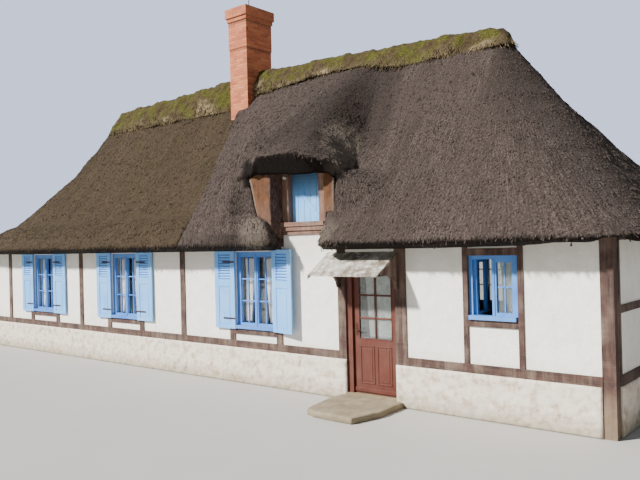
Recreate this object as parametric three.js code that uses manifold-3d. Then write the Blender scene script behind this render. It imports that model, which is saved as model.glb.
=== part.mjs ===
// A thatched, timber-framed cottage with a brick chimney and a loft door under an eyebrow of thatch.
// Millimetres, +Z up, +X to the right along the front, +Y towards the back.
// While the cottage is drawn, x = 0 is the right corner, y = 0 the front face and z = 0 the door
// threshold. The last step moves the origin to the bottom centre of the whole cottage.

import * as THREE from 'three';
import { mergeVertices } from 'three/addons/utils/BufferGeometryUtils.js';
import Module from 'manifold-3d';

const wasm = await Module();
wasm.setup();

// Plan and levels
const LENGTH = 16700;
const DEPTH = 5000;
const GROUND = -120;
const FLOOR_TOP = 0;
const PLINTH_TOP = 530;
const SILL_BEAM_TOP = 660;
const WALL_TOP = 2380;
const WALL_THICKNESS = 250;
const PLASTER_RECESS = 10;
const TIMBER_PROUD = 10;
const TIMBER_DEPTH = 130;
const PLINTH_PROUD = 20;
const CORNER_POST = 170;
const PLATE_WIDTH = 200;
const LOFT_FLOOR_THICKNESS = 60;
const GAP = 0.3;

// Roof
const OVERHANG = 500;
const EAVE_Z = 2440;
const EAVE_LIP = 50;
const EAVE_UNDERCUT = 300;
const EAVE_BOTTOM_Z = 2300;
const RIDGE_Y = DEPTH / 2;
const SLOPE_RUN = RIDGE_Y + OVERHANG;
const SLOPE_AT_EAVE = 1.02;
const SLOPE_GAIN = 0.000062;
const THATCH_DEPTH = 450;
const RIDGE_RIGHT_X = -2550;
const HIP_CORNER_RADIUS = 1100;
const CORNER_MIN_THICKNESS = 100;
const CORNER_CLEARANCE = 25;
const OLD_THATCH_DROP = 200;
const OLD_THATCH_RAMP = [300, 900];
const SECTION_EDGE_AT_EAVE = -7880;
const SECTION_EDGE_AT_RIDGE = -8960;
const REAR_STEP = [-8620, -8910];
const CAP_RUN = 2760;
const CAP_CREST = [
  [-14150, 5900], [-13850, 6200], [-9040, 6330], [-8490, 6400], [-2850, 6175], [-2550, 6085],
];

// Dormer
const DORMER_LEFT = -5562;
const DORMER_RIGHT = -4600;
const DORMER_POST = 136;
const DORMER_SILL_BOTTOM = 2580;
const DORMER_SILL_TOP = 2800;
const DORMER_HEAD_BOTTOM = 3660;
const DORMER_HEAD_TOP = 3750;
const HOOD_LEFT = -6150;
const HOOD_RIGHT_FRONT = -4340;
const HOOD_RIGHT_RIDGE = -5000;
const HOOD_FRONT_Y = -480;
const HOOD_SIDE_Y = 20;
const HOOD_FRONT_Z = 3930;
const HOOD_EDGE_Z = 3700;
const HOOD_BOTTOM_Y = -300;
const HOOD_BOTTOM_Z = [3650, 3480];
const HOOD_BOTTOM_Z_AT_WALL = 3830;
const HOOD_CROWN_WIDTH = 800;
const HOOD_EDGE_WIDTH = 250;
const HOOD_LEFT_BLEND = 350;
const HOOD_MIN_THICKNESS = 110;
const BROW_UNDERCUT = 190;
const FLANK_RAMP = 400;
const FLANK_SQUEEZE = 0.73;
const SHOULDER_Z = 3640;
const SHOULDER_RAMP = 150;
const CHEEK_THICKNESS = 35;

// Doorway
const DOOR_POST_LEFT = [-4370, -4212];
const DOOR_POST_RIGHT = [-3253, -3053];
const DOOR_JAMB_RIGHT_EDGE = -4106;
const DOOR_HEAD_BOTTOM = 1993;
const DOOR_HEAD_TOP = 2090;
const DOOR_FRAME_Y = [20, 150];
const DOOR_LEAF = { left: -4098, right: -3262, bottom: 8, top: 1985, front: 60, thickness: 45 };
const DOOR_GLASS = { left: -3985, right: -3375, bottom: 887, top: 1900 };
const DOOR_GLASS_THICKNESS = 6;

// Chimney
const CHIMNEY = { left: -9040, right: -8490, front: 2105, back: 2895, top: 7820 };
const CHIMNEY_WALL = 125;
const FLUE_DEPTH = 1500;
const CHIMNEY_BAND_Z = 6900;
const CHIMNEY_BAND_PROUD = 12;
const CHIMNEY_CAP_BOTTOM = 7610;
const CHIMNEY_CORBEL_BOTTOM = 7520;
const CHIMNEY_CAP_PROUD = 65;
const CHIMNEY_CORBEL_PROUD = 35;
const CHIMNEY_CLEARANCE = 5;

// Windows: opening edges along the wall and in height
const RIGHT_WINDOW = { left: -2008, right: -1258, bottom: 1295, top: 2200 };
const FRONT_LEFT_WINDOWS = [
  { name: 'middle', left: -6800, right: -5800, bottom: 885, top: 2300 },
  { name: 'left', left: -10800, right: -9810, bottom: 885, top: 2300 },
  { name: 'far_left', left: -14200, right: -13200, bottom: 885, top: 2300 },
];
const BACK_WINDOWS = [
  { name: 'back_right', left: -4600, right: -3700, bottom: 1000, top: 2200 },
  { name: 'back_left', left: -12400, right: -11500, bottom: 1000, top: 2200 },
];
const WINDOW_FRAME = 55;
const WINDOW_SASH = 45;
const WINDOW_Y = [40, 100];
const WINDOW_SILL = 60;
const STUD = 140;
const STUD_OFFSET = 30;
const RAIL = 100;
const SHUTTER = { width: 540, bottom: 872, top: 2330, thickness: 30, back: -15 };
const SHUTTER_LUG = 40;
const OPEN_SHUTTER_TURN = THREE.MathUtils.degToRad(10);
const GLASS_THICKNESS = 6;

// Small parts
const CORNER_POST_TOP = 2470;
const RIGHT_WINDOW_STUD = 80;
const FRONT_LEFT_STUDS = [-8400, -12100, -15500];
const BACK_STUDS = [-15000, -13600, -9400, -7900, -6400, -2100];
const END_STUDS = [1250, 2430, 3610];
const END_RAIL_Z = 1450;
const CANOPY = {
  left: -4530, right: -3200, back: [-10.4, 2271], front: [-550, 1920], thickness: 12,
  board: 55, boardWidth: 25,
};
const BRACKET = { foot: 1700, footReach: -60, belly: 260, reach: -470, nose: 45, width: 50 };
const HINGE = { reach: 20, height: 90, levels: [320, 1560] };
const STEP_TOP = -25;
const STEP_OUTLINE = [
  [-4270, -20.3], [-4300, -420], [-4130, -1130], [-3900, -1230], [-3200, -1250], [-3080, -700],
  [-3120, -20.3],
];
const HANDLE = { x: -4040, z: 1030, plateWidth: 40, plateHeight: 200, reach: 45 };
const WINDOW_SILL_PROUD = 40;
const SHUTTER_INSET = 15;
const SHUTTER_LUG_LEVELS = [1050, 2100];
const DORMER_DEPTH = 120;
const DORMER_SILL_PROUD = [15, 40, 60];
const LOFT_DOOR_Y = 100;
const LOFT_DOOR_THICKNESS = 35;
const LEFT_CHEEK = { x: [-6120, -5640], y: -260, z: [2700, 3720], returnEnd: 80 };
const RIGHT_CHEEK = { depth: 650, top: 3800, frontWidth: 230, frontY: -50, frontTop: 3680 };
const RIDGE_CAP_EDGE = 45;
const CAP_CLEARANCE = 30;
const CAP_SEAT = 0.8;

// Materials
function material(color, roughness = 0.9, metalness = 0) {
  return new THREE.MeshStandardMaterial({ color, roughness, metalness });
}

const THATCH = material('#6b5f58');
const OLD_THATCH = material('#685b4e');
const TURF = material('#79744c');
const PLASTER = material('#e9e6df');
const STONE = material('#d5cbc1');
const STEP = material('#aea08b');
const FLOOR = material('#a89a86');
const TIMBER = material('#85695f', 0.8);
const BRICK = material('#c8876a');
const CLAY = material('#a5643f');
const BLUE_PAINT = material('#b8d4ec', 0.6);
const SHUTTER_PAINT = material('#a9cdec', 0.6);
const RED_PAINT = material('#7c4a3c', 0.5);
const SHEET = material('#c1bdb5', 0.7);
const IRON = material('#4a4642', 0.5, 0.8);
const GLASS = material('#cfe0e8', 0.05);

const cottage = new THREE.Group();

function addPiece(name, geometry, pieceMaterial) {
  const mesh = new THREE.Mesh(geometry, pieceMaterial);
  mesh.name = name;
  cottage.add(mesh);
  return mesh;
}

// Solids
function box(x, y, z) {
  const geometry = new THREE.BoxGeometry(x[1] - x[0], y[1] - y[0], z[1] - z[0]);
  return geometry.translate((x[0] + x[1]) / 2, (y[0] + y[1]) / 2, (z[0] + z[1]) / 2);
}

// A plan outline drawn over x and y, stood up between two levels.
function standing(outline, [bottom, top]) {
  const shape = new THREE.Shape(outline.map(([x, y]) => new THREE.Vector2(x, y)));
  const depth = top - bottom;
  return new THREE.ExtrudeGeometry(shape, { depth, bevelEnabled: false }).translate(0, 0, bottom);
}

function toSolid(geometry) {
  let merged = geometry.clone();
  merged.deleteAttribute('normal');
  merged.deleteAttribute('uv');
  merged = mergeVertices(merged, 1e-3);
  const vertProperties = new Float32Array(merged.attributes.position.array);
  const triVerts = new Uint32Array(merged.index.array);
  return new wasm.Manifold(new wasm.Mesh({ numProp: 3, vertProperties, triVerts }));
}

function toGeometry(solid) {
  const mesh = solid.getMesh();
  const geometry = new THREE.BufferGeometry();
  geometry.setAttribute('position', new THREE.BufferAttribute(mesh.vertProperties, 3));
  geometry.setIndex(new THREE.BufferAttribute(mesh.triVerts, 1));
  return geometry;
}

function join(geometries) {
  return toGeometry(geometries.map(toSolid).reduce((sum, next) => sum.add(next)));
}

function cut(geometry, cutters) {
  const solid = cutters.map(toSolid).reduce((rest, next) => rest.subtract(next), toSolid(geometry));
  return toGeometry(solid);
}

// A neighbour's solid, moved a hair each way, so that what it cuts keeps the touching gap.
function withGap(geometry, directions) {
  const moved = directions.map(([x, y, z]) => geometry.clone().translate(x * GAP, y * GAP, z * GAP));
  return [geometry, ...moved];
}

// A closed shell between an upper and a lower surface over a grid of columns and rows.
// Both are functions of column and row that give [x, y, z]. Corners that fall together are merged.
// An open ridge has no end wall at its last row, where two halves of the shell meet.
function gridShell(columns, rows, upper, lower, openRidge = false) {
  const positions = [];
  const triangles = [];
  const seen = new Map();

  function vertex([x, y, z]) {
    const key = `${x.toFixed(3)},${y.toFixed(3)},${z.toFixed(3)}`;
    if (!seen.has(key)) {
      seen.set(key, positions.length / 3);
      positions.push(x, y, z);
    }
    return seen.get(key);
  }

  function triangle(a, b, c) {
    if (a !== b && b !== c && c !== a) triangles.push(a, b, c);
  }

  function quad(a, b, c, d) {
    triangle(a, b, c);
    triangle(a, c, d);
  }

  const last = columns.length - 1;
  const top = rows.length - 1;
  const up = columns.map((s) => rows.map((t) => vertex(upper(s, t))));
  const down = columns.map((s) => rows.map((t) => vertex(lower(s, t))));
  for (let i = 0; i < last; i += 1) {
    for (let j = 0; j < top; j += 1) {
      quad(up[i][j], up[i + 1][j], up[i + 1][j + 1], up[i][j + 1]);
      quad(down[i][j], down[i][j + 1], down[i + 1][j + 1], down[i + 1][j]);
    }
    quad(down[i][0], down[i + 1][0], up[i + 1][0], up[i][0]);
    if (!openRidge) quad(down[i + 1][top], down[i][top], up[i][top], up[i + 1][top]);
  }
  for (let j = 0; j < top; j += 1) {
    quad(down[0][j + 1], down[0][j], up[0][j], up[0][j + 1]);
    quad(down[last][j], down[last][j + 1], up[last][j + 1], up[last][j]);
  }
  const geometry = new THREE.BufferGeometry();
  geometry.setAttribute('position', new THREE.BufferAttribute(new Float32Array(positions), 3));
  geometry.setIndex(triangles);
  return geometry;
}

// Helpers for surfaces
const lerp = THREE.MathUtils.lerp;
const smooth = (v) => THREE.MathUtils.smoothstep(v, 0, 1);

function steps(from, to, count) {
  return Array.from({ length: count + 1 }, (_, i) => lerp(from, to, i / count));
}

function along(points, v) {
  const next = Math.max(1, points.findIndex(([at]) => at >= v));
  const last = v >= points[points.length - 1][0] ? points.length - 1 : next;
  const [a, from] = points[last - 1];
  const [b, to] = points[last];
  return lerp(from, to, THREE.MathUtils.clamp((v - a) / (b - a), 0, 1));
}

// Roof surfaces. A run is the distance in from the eave, as measured on the front slope.
function thatchTop(run) {
  return EAVE_Z + SLOPE_AT_EAVE * run + SLOPE_GAIN * run * run;
}

function thatchBottom(run) {
  const undercut = thatchTop(EAVE_UNDERCUT) - EAVE_BOTTOM_Z;
  const inner = thatchTop(run) - lerp(undercut, THATCH_DEPTH, smooth(run / EAVE_UNDERCUT - 1));
  if (run >= EAVE_UNDERCUT) return inner;
  return lerp(EAVE_Z - EAVE_LIP, EAVE_BOTTOM_Z, run / EAVE_UNDERCUT);
}

const PLATE_TOP = thatchBottom(OVERHANG) - GAP;
const END_SLOPE_RUN = OVERHANG - RIDGE_RIGHT_X;
const END_PLATE_TOP = thatchBottom((OVERHANG * SLOPE_RUN) / END_SLOPE_RUN) - GAP;

const ROOF_RUNS = [0, 150, 300, 500, 750, 1050, 1400, 1900, 2300, CAP_RUN, SLOPE_RUN];

function sectionEdge(run) {
  return lerp(SECTION_EDGE_AT_EAVE, SECTION_EDGE_AT_RIDGE, run / SLOPE_RUN);
}

function hoodTop(y) {
  const rise = (thatchTop(SLOPE_RUN) - HOOD_FRONT_Z) / (RIDGE_Y - HOOD_FRONT_Y);
  return HOOD_FRONT_Z + (y - HOOD_FRONT_Y) * rise;
}

// The thatch left of the loft door swells from the old slope up to the hood.
function swellTop(x, y) {
  const run = y + OVERHANG;
  const base = thatchTop(run);
  const ramp = Math.min(1, run / FLANK_RAMP);
  const front = 1 - (1 - ramp) * (1 - ramp);
  const side = smooth((x - sectionEdge(run)) / (HOOD_LEFT - sectionEdge(run)));
  return base + (hoodTop(y) - base) * front * side;
}

function hoodEdgeX(y) {
  return lerp(HOOD_RIGHT_FRONT, HOOD_RIGHT_RIDGE, (y - HOOD_SIDE_Y) / (RIDGE_Y - HOOD_SIDE_Y));
}

// Lines from the eave up to the ridge. A line's plan gives its point for each run in from the eave.
function straightLine(eaveX, ridgeX = eaveX, old = false) {
  const plan = (run) => [lerp(eaveX, ridgeX, run / SLOPE_RUN), run - OVERHANG];
  return { plan, old, round: false, ridgeX };
}

// The hips turn the corner on a wide radius, which shrinks to nothing at the end of the ridge.
function cornerLine(degrees, old = false) {
  const angle = THREE.MathUtils.degToRad(degrees);
  const plan = (run) => {
    const radius = Math.min(HIP_CORNER_RADIUS, SLOPE_RUN - run);
    const endX = lerp(OVERHANG, RIDGE_RIGHT_X, run / SLOPE_RUN);
    return [endX - radius * (1 - Math.sin(angle)), run - OVERHANG + radius * (1 - Math.cos(angle))];
  };
  return { plan, old, round: true, ridgeX: RIDGE_RIGHT_X };
}

const mirrorX = (x) => -LENGTH - x;
const mirrorY = (y) => DEPTH - y;
const toLeft = (line) => ({
  ...line, ridgeX: mirrorX(line.ridgeX), plan: (run) => [mirrorX(line.plan(run)[0]), line.plan(run)[1]],
});
const toRear = (line) => ({ ...line, plan: (run) => [line.plan(run)[0], mirrorY(line.plan(run)[1])] });

function lineTop(line, run) {
  const top = thatchTop(run);
  if (line.old) return top - OLD_THATCH_DROP * THREE.MathUtils.smoothstep(run, ...OLD_THATCH_RAMP);
  if (!line.shoulder || top > SHOULDER_Z) return top;
  return lerp(top, SHOULDER_Z, line.shoulder * smooth((run - line.shoulderRun) / SHOULDER_RAMP));
}

// Under a round corner the thatch is hollowed out over the square corner of the walls.
function lineBottom(line, run) {
  if (!line.round) return thatchBottom(run);
  const [x, y] = line.plan(run);
  const square = Math.min(OVERHANG - x, OVERHANG - mirrorX(x), OVERHANG + y, OVERHANG + mirrorY(y));
  const highest = lineTop(line, run) - CORNER_MIN_THICKNESS;
  const hollow = Math.min(thatchBottom(square) + CORNER_CLEARANCE, highest);
  return Math.max(thatchBottom(run), hollow);
}

function slopeShell(lines, runs = ROOF_RUNS) {
  const columns = lines.map((_, i) => i);
  const upper = (i, run) => [...lines[i].plan(run), lineTop(lines[i], run)];
  const lower = (i, run) => [...lines[i].plan(run), lineBottom(lines[i], run)];
  return gridShell(columns, runs, upper, lower);
}

const frontCorner = (old) => [0, 15, 30, 45].map((degrees) => cornerLine(degrees, old));
const endCorner = (old) => [45, 60, 75, 90].map((degrees) => cornerLine(degrees, old));
const besideHip = (old) => straightLine(-2300, -2850, old);

// Front slope right of the dormer, round to the hip. Beside the dormer the reed stands up in a shoulder
// that fades towards the right. A line's shoulder is the share of its height, and its shoulderRun the
// run where it begins: behind the right cheek's front, and proud of it further right.
const RIGHT_FLANK_EDGE = [[-500, -4390], [-150, -4520], [0, -4556], [600, -4556]];
const RIGHT_FLANK_END = RIGHT_FLANK_EDGE[RIGHT_FLANK_EDGE.length - 1][0];

function frontRightEdge(y) {
  return y < RIGHT_FLANK_END ? along(RIGHT_FLANK_EDGE, y) : hoodEdgeX(y) + 3 * GAP;
}

function frontRightThatch() {
  const behind = { shoulder: 1, shoulderRun: OVERHANG - 10 };
  const proud = (shoulder) => ({ shoulder, shoulderRun: OVERHANG - 100 });
  const lines = [
    { plan: (run) => [frontRightEdge(run - OVERHANG), run - OVERHANG], ...behind },
    { ...straightLine(-4292, -4766), ...behind },
    { ...straightLine(-4288, -4762), ...proud(1) },
    { ...straightLine(-3950, -4400), ...proud(0.73) },
    { ...straightLine(-3770, -4150), ...proud(0.42) },
    { ...straightLine(-3600, -3900), ...proud(0.13) },
    besideHip(),
    ...frontCorner(),
  ];
  const runs = [
    0, 150, 300, 350, 400, 445, 490, 550, 640, 750, 1100, 1280, 1400, 1900, 2300, CAP_RUN, SLOPE_RUN,
  ];
  return slopeShell(lines, runs);
}

function rightHipThatch() {
  const corner = endCorner();
  return slopeShell([...corner, ...corner.map(toRear).reverse()]).translate(GAP, 0, 0);
}

function leftHipThatch() {
  const corner = endCorner(true).map(toLeft);
  return slopeShell([...corner.map(toRear), ...corner.reverse()]).translate(-GAP, 0, 0);
}

function turned(geometry) {
  const index = geometry.index.array;
  for (let i = 0; i < index.length; i += 3) [index[i], index[i + 1]] = [index[i + 1], index[i]];
  return geometry;
}

function backThatch() {
  const lines = [
    ...frontCorner().reverse(), besideHip(), straightLine(-5500), straightLine(REAR_STEP[0]),
    straightLine(REAR_STEP[1], REAR_STEP[1], true),
    toLeft(besideHip(true)), ...frontCorner(true).map(toLeft),
  ];
  return cut(slopeShell(lines.map(toRear)).translate(0, GAP, 0), [chimneyHole()]);
}

// Old, thinner thatch left of the chimney
function frontLeftThatch() {
  const edge = { plan: (run) => [sectionEdge(run) - GAP, run - OVERHANG], old: true, round: false };
  const straight = [-12500, -10500].map((x) => straightLine(x, x, true));
  const lines = [...frontCorner(true).map(toLeft).reverse(), toLeft(besideHip(true)), ...straight, edge];
  return cut(slopeShell(lines), [chimneyHole()]);
}

// Thatch between the old part and the dormer, with the flank that closes the dormer on the left
const FLANK_CAP = [
  [-6150, 3560], [-6115, 3500], [-6060, 3400], [-5990, 3160], [-5900, 2920], [-5630, 2820], [-5500, 2650],
  [-5400, 2450],
];

function flankLeftOfDormer() {
  const bite = 100;
  const columns = [HOOD_LEFT - bite, ...FLANK_CAP.map(([x]) => x)];
  const rows = [-500, -470, -430, -380, -300, -200, -60];
  const squeeze = (x, y) => HOOD_LEFT + (x - HOOD_LEFT) * lerp(1, FLANK_SQUEEZE, (y + OVERHANG) / OVERHANG);
  const plan = (x, y) => (x < HOOD_LEFT ? x : squeeze(x, y));
  const height = (x, y) => Math.min(swellTop(Math.min(x, HOOD_LEFT), y), along(FLANK_CAP, x));
  const upper = (x, y) => [plan(x, y), y, x < HOOD_LEFT ? swellTop(x, y) : Math.max(height(x, y), EAVE_Z)];
  const lower = (x, y) => [plan(x, y), y, thatchBottom(y + OVERHANG)];
  return gridShell(columns, rows, upper, lower);
}

function swellThatch() {
  const runs = [0, 30, 70, 120, 200, 300, 440, 500, 750, 1050, 1400, 1800, 2200, 2600, 3000];
  const columns = steps(0, 1, 8);
  const plan = (s, run) => lerp(sectionEdge(run), HOOD_LEFT, s);
  const upper = (s, run) => [plan(s, run), run - OVERHANG, swellTop(plan(s, run), run - OVERHANG)];
  const lower = (s, run) => [plan(s, run), run - OVERHANG, thatchBottom(run)];
  return cut(join([gridShell(columns, runs, upper, lower), flankLeftOfDormer()]), [chimneyHole()]);
}

// Hood over the loft door. Its front edge is the brow, whose foot stands back towards the door.
const BROW = [
  [0, -6150, -300], [0.1, -6020, -410], [0.22, -5750, -475], [0.36, -5450, -490], [0.5, -5150, -490],
  [0.64, -4850, -475], [0.76, -4620, -420], [0.88, -4430, -260], [1, -4340, 20],
];

function hoodPlan(s, t) {
  const at = BROW.find(([v]) => v === s);
  const ridgeX = lerp(HOOD_LEFT, HOOD_RIGHT_RIDGE, s);
  return [lerp(at[1], ridgeX, t), lerp(at[2], RIDGE_Y, t)];
}

function hoodTopAt(x, y) {
  const edgeX = hoodEdgeX(Math.max(HOOD_SIDE_Y, y));
  const edge = Math.max(thatchTop(y + OVERHANG), HOOD_EDGE_Z);
  const fullness = Math.pow(smooth((edgeX - x) / HOOD_CROWN_WIDTH + 0.06), 0.6);
  const crown = edge + (hoodTop(y) - edge) * fullness;
  return lerp(swellTop(HOOD_LEFT, y), crown, smooth((x - HOOD_LEFT) / HOOD_LEFT_BLEND));
}

function hoodBottomAt(x, y) {
  const [left, right] = HOOD_BOTTOM_Z;
  const brow = lerp(left, right, (x - HOOD_LEFT) / (HOOD_RIGHT_FRONT - HOOD_LEFT));
  const profile = [[HOOD_BOTTOM_Y, brow], [0, HOOD_BOTTOM_Z_AT_WALL], [RIDGE_Y, thatchBottom(SLOPE_RUN)]];
  const edgeX = hoodEdgeX(Math.max(HOOD_SIDE_Y, y));
  const edge = Math.max(right, thatchBottom(y + OVERHANG));
  const open = lerp(edge, along(profile, y), smooth((edgeX - x) / HOOD_EDGE_WIDTH));
  return Math.min(open, hoodTopAt(x, y) - HOOD_MIN_THICKNESS);
}

function hoodThatch() {
  const columns = BROW.map(([s]) => s);
  const rows = [0, 0.04, 0.1, 0.18, 0.3, 0.45, 0.6, 0.8, 1];
  const upper = (s, t) => [...hoodPlan(s, t), hoodTopAt(...hoodPlan(s, t))];
  const lower = (s, t) => {
    const [x, y] = hoodPlan(s, t);
    const back = y + BROW_UNDERCUT * Math.sqrt(Math.sin(Math.PI * Math.min(s, 1 - 1e-9))) * (1 - t);
    return [x, back, hoodBottomAt(x, back)];
  };
  const shell = gridShell(columns, rows, upper, lower).translate(GAP, 0, 0);
  const frame = box([DORMER_LEFT, DORMER_RIGHT], [0, DORMER_DEPTH], [DORMER_SILL_TOP, DORMER_HEAD_TOP]);
  return cut(shell, [...withGap(frontRightThatch(), [[0, 0, 1], [-1, 0, 0]]), roomFor(frame)]);
}

// Ridge caps of clay and turf, one each side of the chimney
function frontSurface(x, y) {
  if (x < HOOD_LEFT) return swellTop(x, y);
  return x < hoodEdgeX(y) ? hoodTopAt(x, y) : thatchTop(y + OVERHANG);
}

const SWELL_MARGIN = 200;
const isOverSwell = (x) => x > CHIMNEY.left && x < HOOD_RIGHT_RIDGE + SWELL_MARGIN;

// A cap is a strip along one side of the ridge, round the hip and back along the other side.
// It rests on the slopes' facets between their last two rows.
function ridgeCap(strip) {
  const footZ = (line) => {
    const seat = lineTop(line, CAP_RUN);
    const [x, y] = line.plan(CAP_RUN);
    if (y < RIDGE_Y && isOverSwell(line.ridgeX)) return Math.max(frontSurface(x, y), seat) + CAP_CLEARANCE;
    return seat + CAP_SEAT;
  };
  const ridgeSeat = (line) => (isOverSwell(line.ridgeX) ? CAP_CLEARANCE / 2 : CAP_SEAT);
  const ridgeZ = (line) => lineTop(line, SLOPE_RUN) + ridgeSeat(line);
  const part = (run) => (run - CAP_RUN) / (SLOPE_RUN - CAP_RUN);
  const lower = (i, run) => [...strip[i].plan(run), lerp(footZ(strip[i]), ridgeZ(strip[i]), part(run))];
  const upper = (i, run) => {
    const bulge = Math.sin((part(run) * Math.PI) / 2);
    const crest = along(CAP_CREST, strip[i].ridgeX);
    return [...strip[i].plan(run), lerp(footZ(strip[i]) + RIDGE_CAP_EDGE, crest, bulge)];
  };
  const runs = [0, 0.25, 0.5, 0.75, 1].map((v) => lerp(CAP_RUN, SLOPE_RUN, v));
  return gridShell(strip.map((_, i) => i), runs, upper, lower, true);
}

// Chimney
function chimneyHole() {
  const c = CHIMNEY_CLEARANCE;
  const x = [CHIMNEY.left - c, CHIMNEY.right + c];
  const y = [CHIMNEY.front - c, CHIMNEY.back + c];
  return box(x, y, [0, CHIMNEY.top]);
}

function chimneyBlock(proud, z) {
  const x = [CHIMNEY.left - proud, CHIMNEY.right + proud];
  const y = [CHIMNEY.front - proud, CHIMNEY.back + proud];
  return box(x, y, z);
}

function chimneyStack() {
  const blocks = [
    chimneyBlock(0, [FLOOR_TOP, CHIMNEY.top - 1]),
    chimneyBlock(CHIMNEY_BAND_PROUD, [CHIMNEY_BAND_Z, CHIMNEY_CAP_BOTTOM]),
    chimneyBlock(CHIMNEY_CORBEL_PROUD, [CHIMNEY_CORBEL_BOTTOM, CHIMNEY_CAP_BOTTOM + 1]),
    chimneyBlock(CHIMNEY_CAP_PROUD, [CHIMNEY_CAP_BOTTOM, CHIMNEY.top]),
  ];
  const flue = chimneyBlock(-CHIMNEY_WALL, [CHIMNEY.top - FLUE_DEPTH, CHIMNEY.top + 10]);
  return cut(join(blocks), [flue]);
}

// Timber frames. Members are boxes on a wall's outer face, joined where they cross.
const FRAME_Y = [-TIMBER_PROUD, TIMBER_DEPTH - TIMBER_PROUD];
const member = (x, z) => box(x, FRAME_Y, z);
const stud = (x) => member(x, [SILL_BEAM_TOP - 10, WALL_TOP + 10]);
const sillBeam = (x) => member(x, [PLINTH_TOP, SILL_BEAM_TOP]);
const plate = (x, top = PLATE_TOP) => box(x, [0, PLATE_WIDTH], [WALL_TOP, top]);

function windowStuds(opening) {
  const right = opening.right + STUD_OFFSET;
  const left = opening.left - STUD_OFFSET;
  return [stud([right, right + STUD]), stud([left - STUD, left])];
}

function windowRail(opening) {
  const x = [opening.left - STUD_OFFSET - 10, opening.right + STUD_OFFSET + 10];
  return member(x, [opening.bottom - RAIL, opening.bottom]);
}

const CANOPY_FALL = (CANOPY.back[1] - CANOPY.front[1]) / (CANOPY.back[0] - CANOPY.front[0]);

function canopyUnderside(y) {
  const drop = CANOPY.thickness * Math.hypot(1, CANOPY_FALL);
  return CANOPY.back[1] - drop + CANOPY_FALL * (y - CANOPY.back[0]);
}

// A side outline drawn over y and z, given a width along x.
function sideExtrusion(outline, x, width) {
  const settings = { depth: width, bevelEnabled: false, curveSegments: 5 };
  const geometry = new THREE.ExtrudeGeometry(outline, settings);
  return geometry.rotateX(Math.PI / 2).rotateZ(Math.PI / 2).translate(x, 0, 0);
}

function canopyBracket(x) {
  const { foot, footReach, belly, reach, nose, width } = BRACKET;
  const outline = new THREE.Shape();
  outline.moveTo(5, foot);
  outline.lineTo(5, canopyUnderside(5) - GAP * 2);
  outline.lineTo(reach, canopyUnderside(reach) - GAP * 2);
  outline.lineTo(reach, canopyUnderside(reach) - nose);
  outline.quadraticCurveTo(reach / 5, foot + belly, footReach, foot);
  return sideExtrusion(outline, x, width);
}

function doorHinge(z) {
  const x = [DOOR_LEAF.right + GAP, DOOR_POST_RIGHT[0] + 5];
  const axisY = DOOR_LEAF.front + DOOR_LEAF.thickness;
  return box(x, [axisY - HINGE.reach, FRAME_Y[1] - 1], [z, z + HINGE.height]);
}

const rightCornerPost = () => box([-CORNER_POST, 0], [0, CORNER_POST], [GROUND, CORNER_POST_TOP]);
const leftCornerPost = () => rightCornerPost().translate(CORNER_POST - LENGTH, 0, 0);
const doorPost = (x, top) => member(x, [GROUND, top]);
const frontRightPosts = () => [rightCornerPost(), doorPost(DOOR_POST_RIGHT, WALL_TOP + 10)];
const frontLeftPosts = () => [leftCornerPost(), doorPost(DOOR_POST_LEFT, WALL_TOP)];
const backPosts = () => [leftCornerPost(), rightCornerPost()];

function frontRightMembers() {
  const w = RIGHT_WINDOW;
  const [postLeft, postRight] = DOOR_POST_RIGHT;
  return [
    ...frontRightPosts(),
    sillBeam([postRight - 10, -CORNER_POST + 10]),
    stud([w.left - RIGHT_WINDOW_STUD, w.left]),
    stud([w.right, w.right + RIGHT_WINDOW_STUD]),
    member([w.left - 10, w.right + 10], [w.bottom - RAIL, w.bottom]),
    member([w.left - 10, w.right + 10], [w.top, w.top + RAIL]),
    plate([DORMER_RIGHT + GAP, -CORNER_POST + 20]),
    canopyBracket(postLeft + 20),
    ...HINGE.levels.map(doorHinge),
  ];
}

function frontLeftMembers() {
  const [postLeft] = DOOR_POST_LEFT;
  const corner = -LENGTH + CORNER_POST;
  return [
    ...frontLeftPosts(),
    sillBeam([corner - 10, postLeft + 10]),
    ...FRONT_LEFT_WINDOWS.flatMap(windowStuds),
    ...FRONT_LEFT_WINDOWS.map(windowRail),
    ...FRONT_LEFT_STUDS.map((x) => stud([x, x + STUD])),
    plate([corner - 20, DORMER_LEFT - GAP]),
    canopyBracket(postLeft + 20),
  ];
}

// Back and end walls are drawn like the front one and then turned to their side.
const toBack = (geometry) => geometry.rotateZ(Math.PI).translate(-LENGTH, DEPTH, 0);
const toRightEnd = (geometry) => geometry.rotateZ(Math.PI / 2);
const toLeftEnd = (geometry) => geometry.rotateZ(-Math.PI / 2).translate(-LENGTH, DEPTH, 0);

const backOpenings = BACK_WINDOWS.map((opening) => ({
  ...opening, left: -LENGTH - opening.right, right: -LENGTH - opening.left,
}));

function backMembers() {
  const corner = -LENGTH + CORNER_POST;
  return [
    ...backPosts(),
    sillBeam([corner - 10, -CORNER_POST + 10]),
    ...backOpenings.flatMap(windowStuds),
    ...backOpenings.map(windowRail),
    ...BACK_STUDS.map((x) => stud([x, x + STUD])),
    plate([corner - 20, -CORNER_POST + 20]),
  ];
}

function endMembers() {
  const from = CORNER_POST + GAP;
  const to = DEPTH - CORNER_POST - GAP;
  return [
    sillBeam([from, to]),
    stud([from, from + 60]),
    stud([to - 60, to]),
    ...END_STUDS.map((x) => stud([x, x + STUD])),
    member([from, to], [END_RAIL_Z, END_RAIL_Z + RAIL]),
    plate([from + 50, to - 50], END_PLATE_TOP),
  ];
}

// Plastered walls and stone plinths, cut round the timbers and at the openings
function roomFor(timber) {
  timber.computeBoundingBox();
  const { min, max } = timber.boundingBox;
  return box([min.x - GAP, max.x + GAP], [min.y - GAP, max.y + GAP], [min.z - GAP, max.z + GAP]);
}

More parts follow.
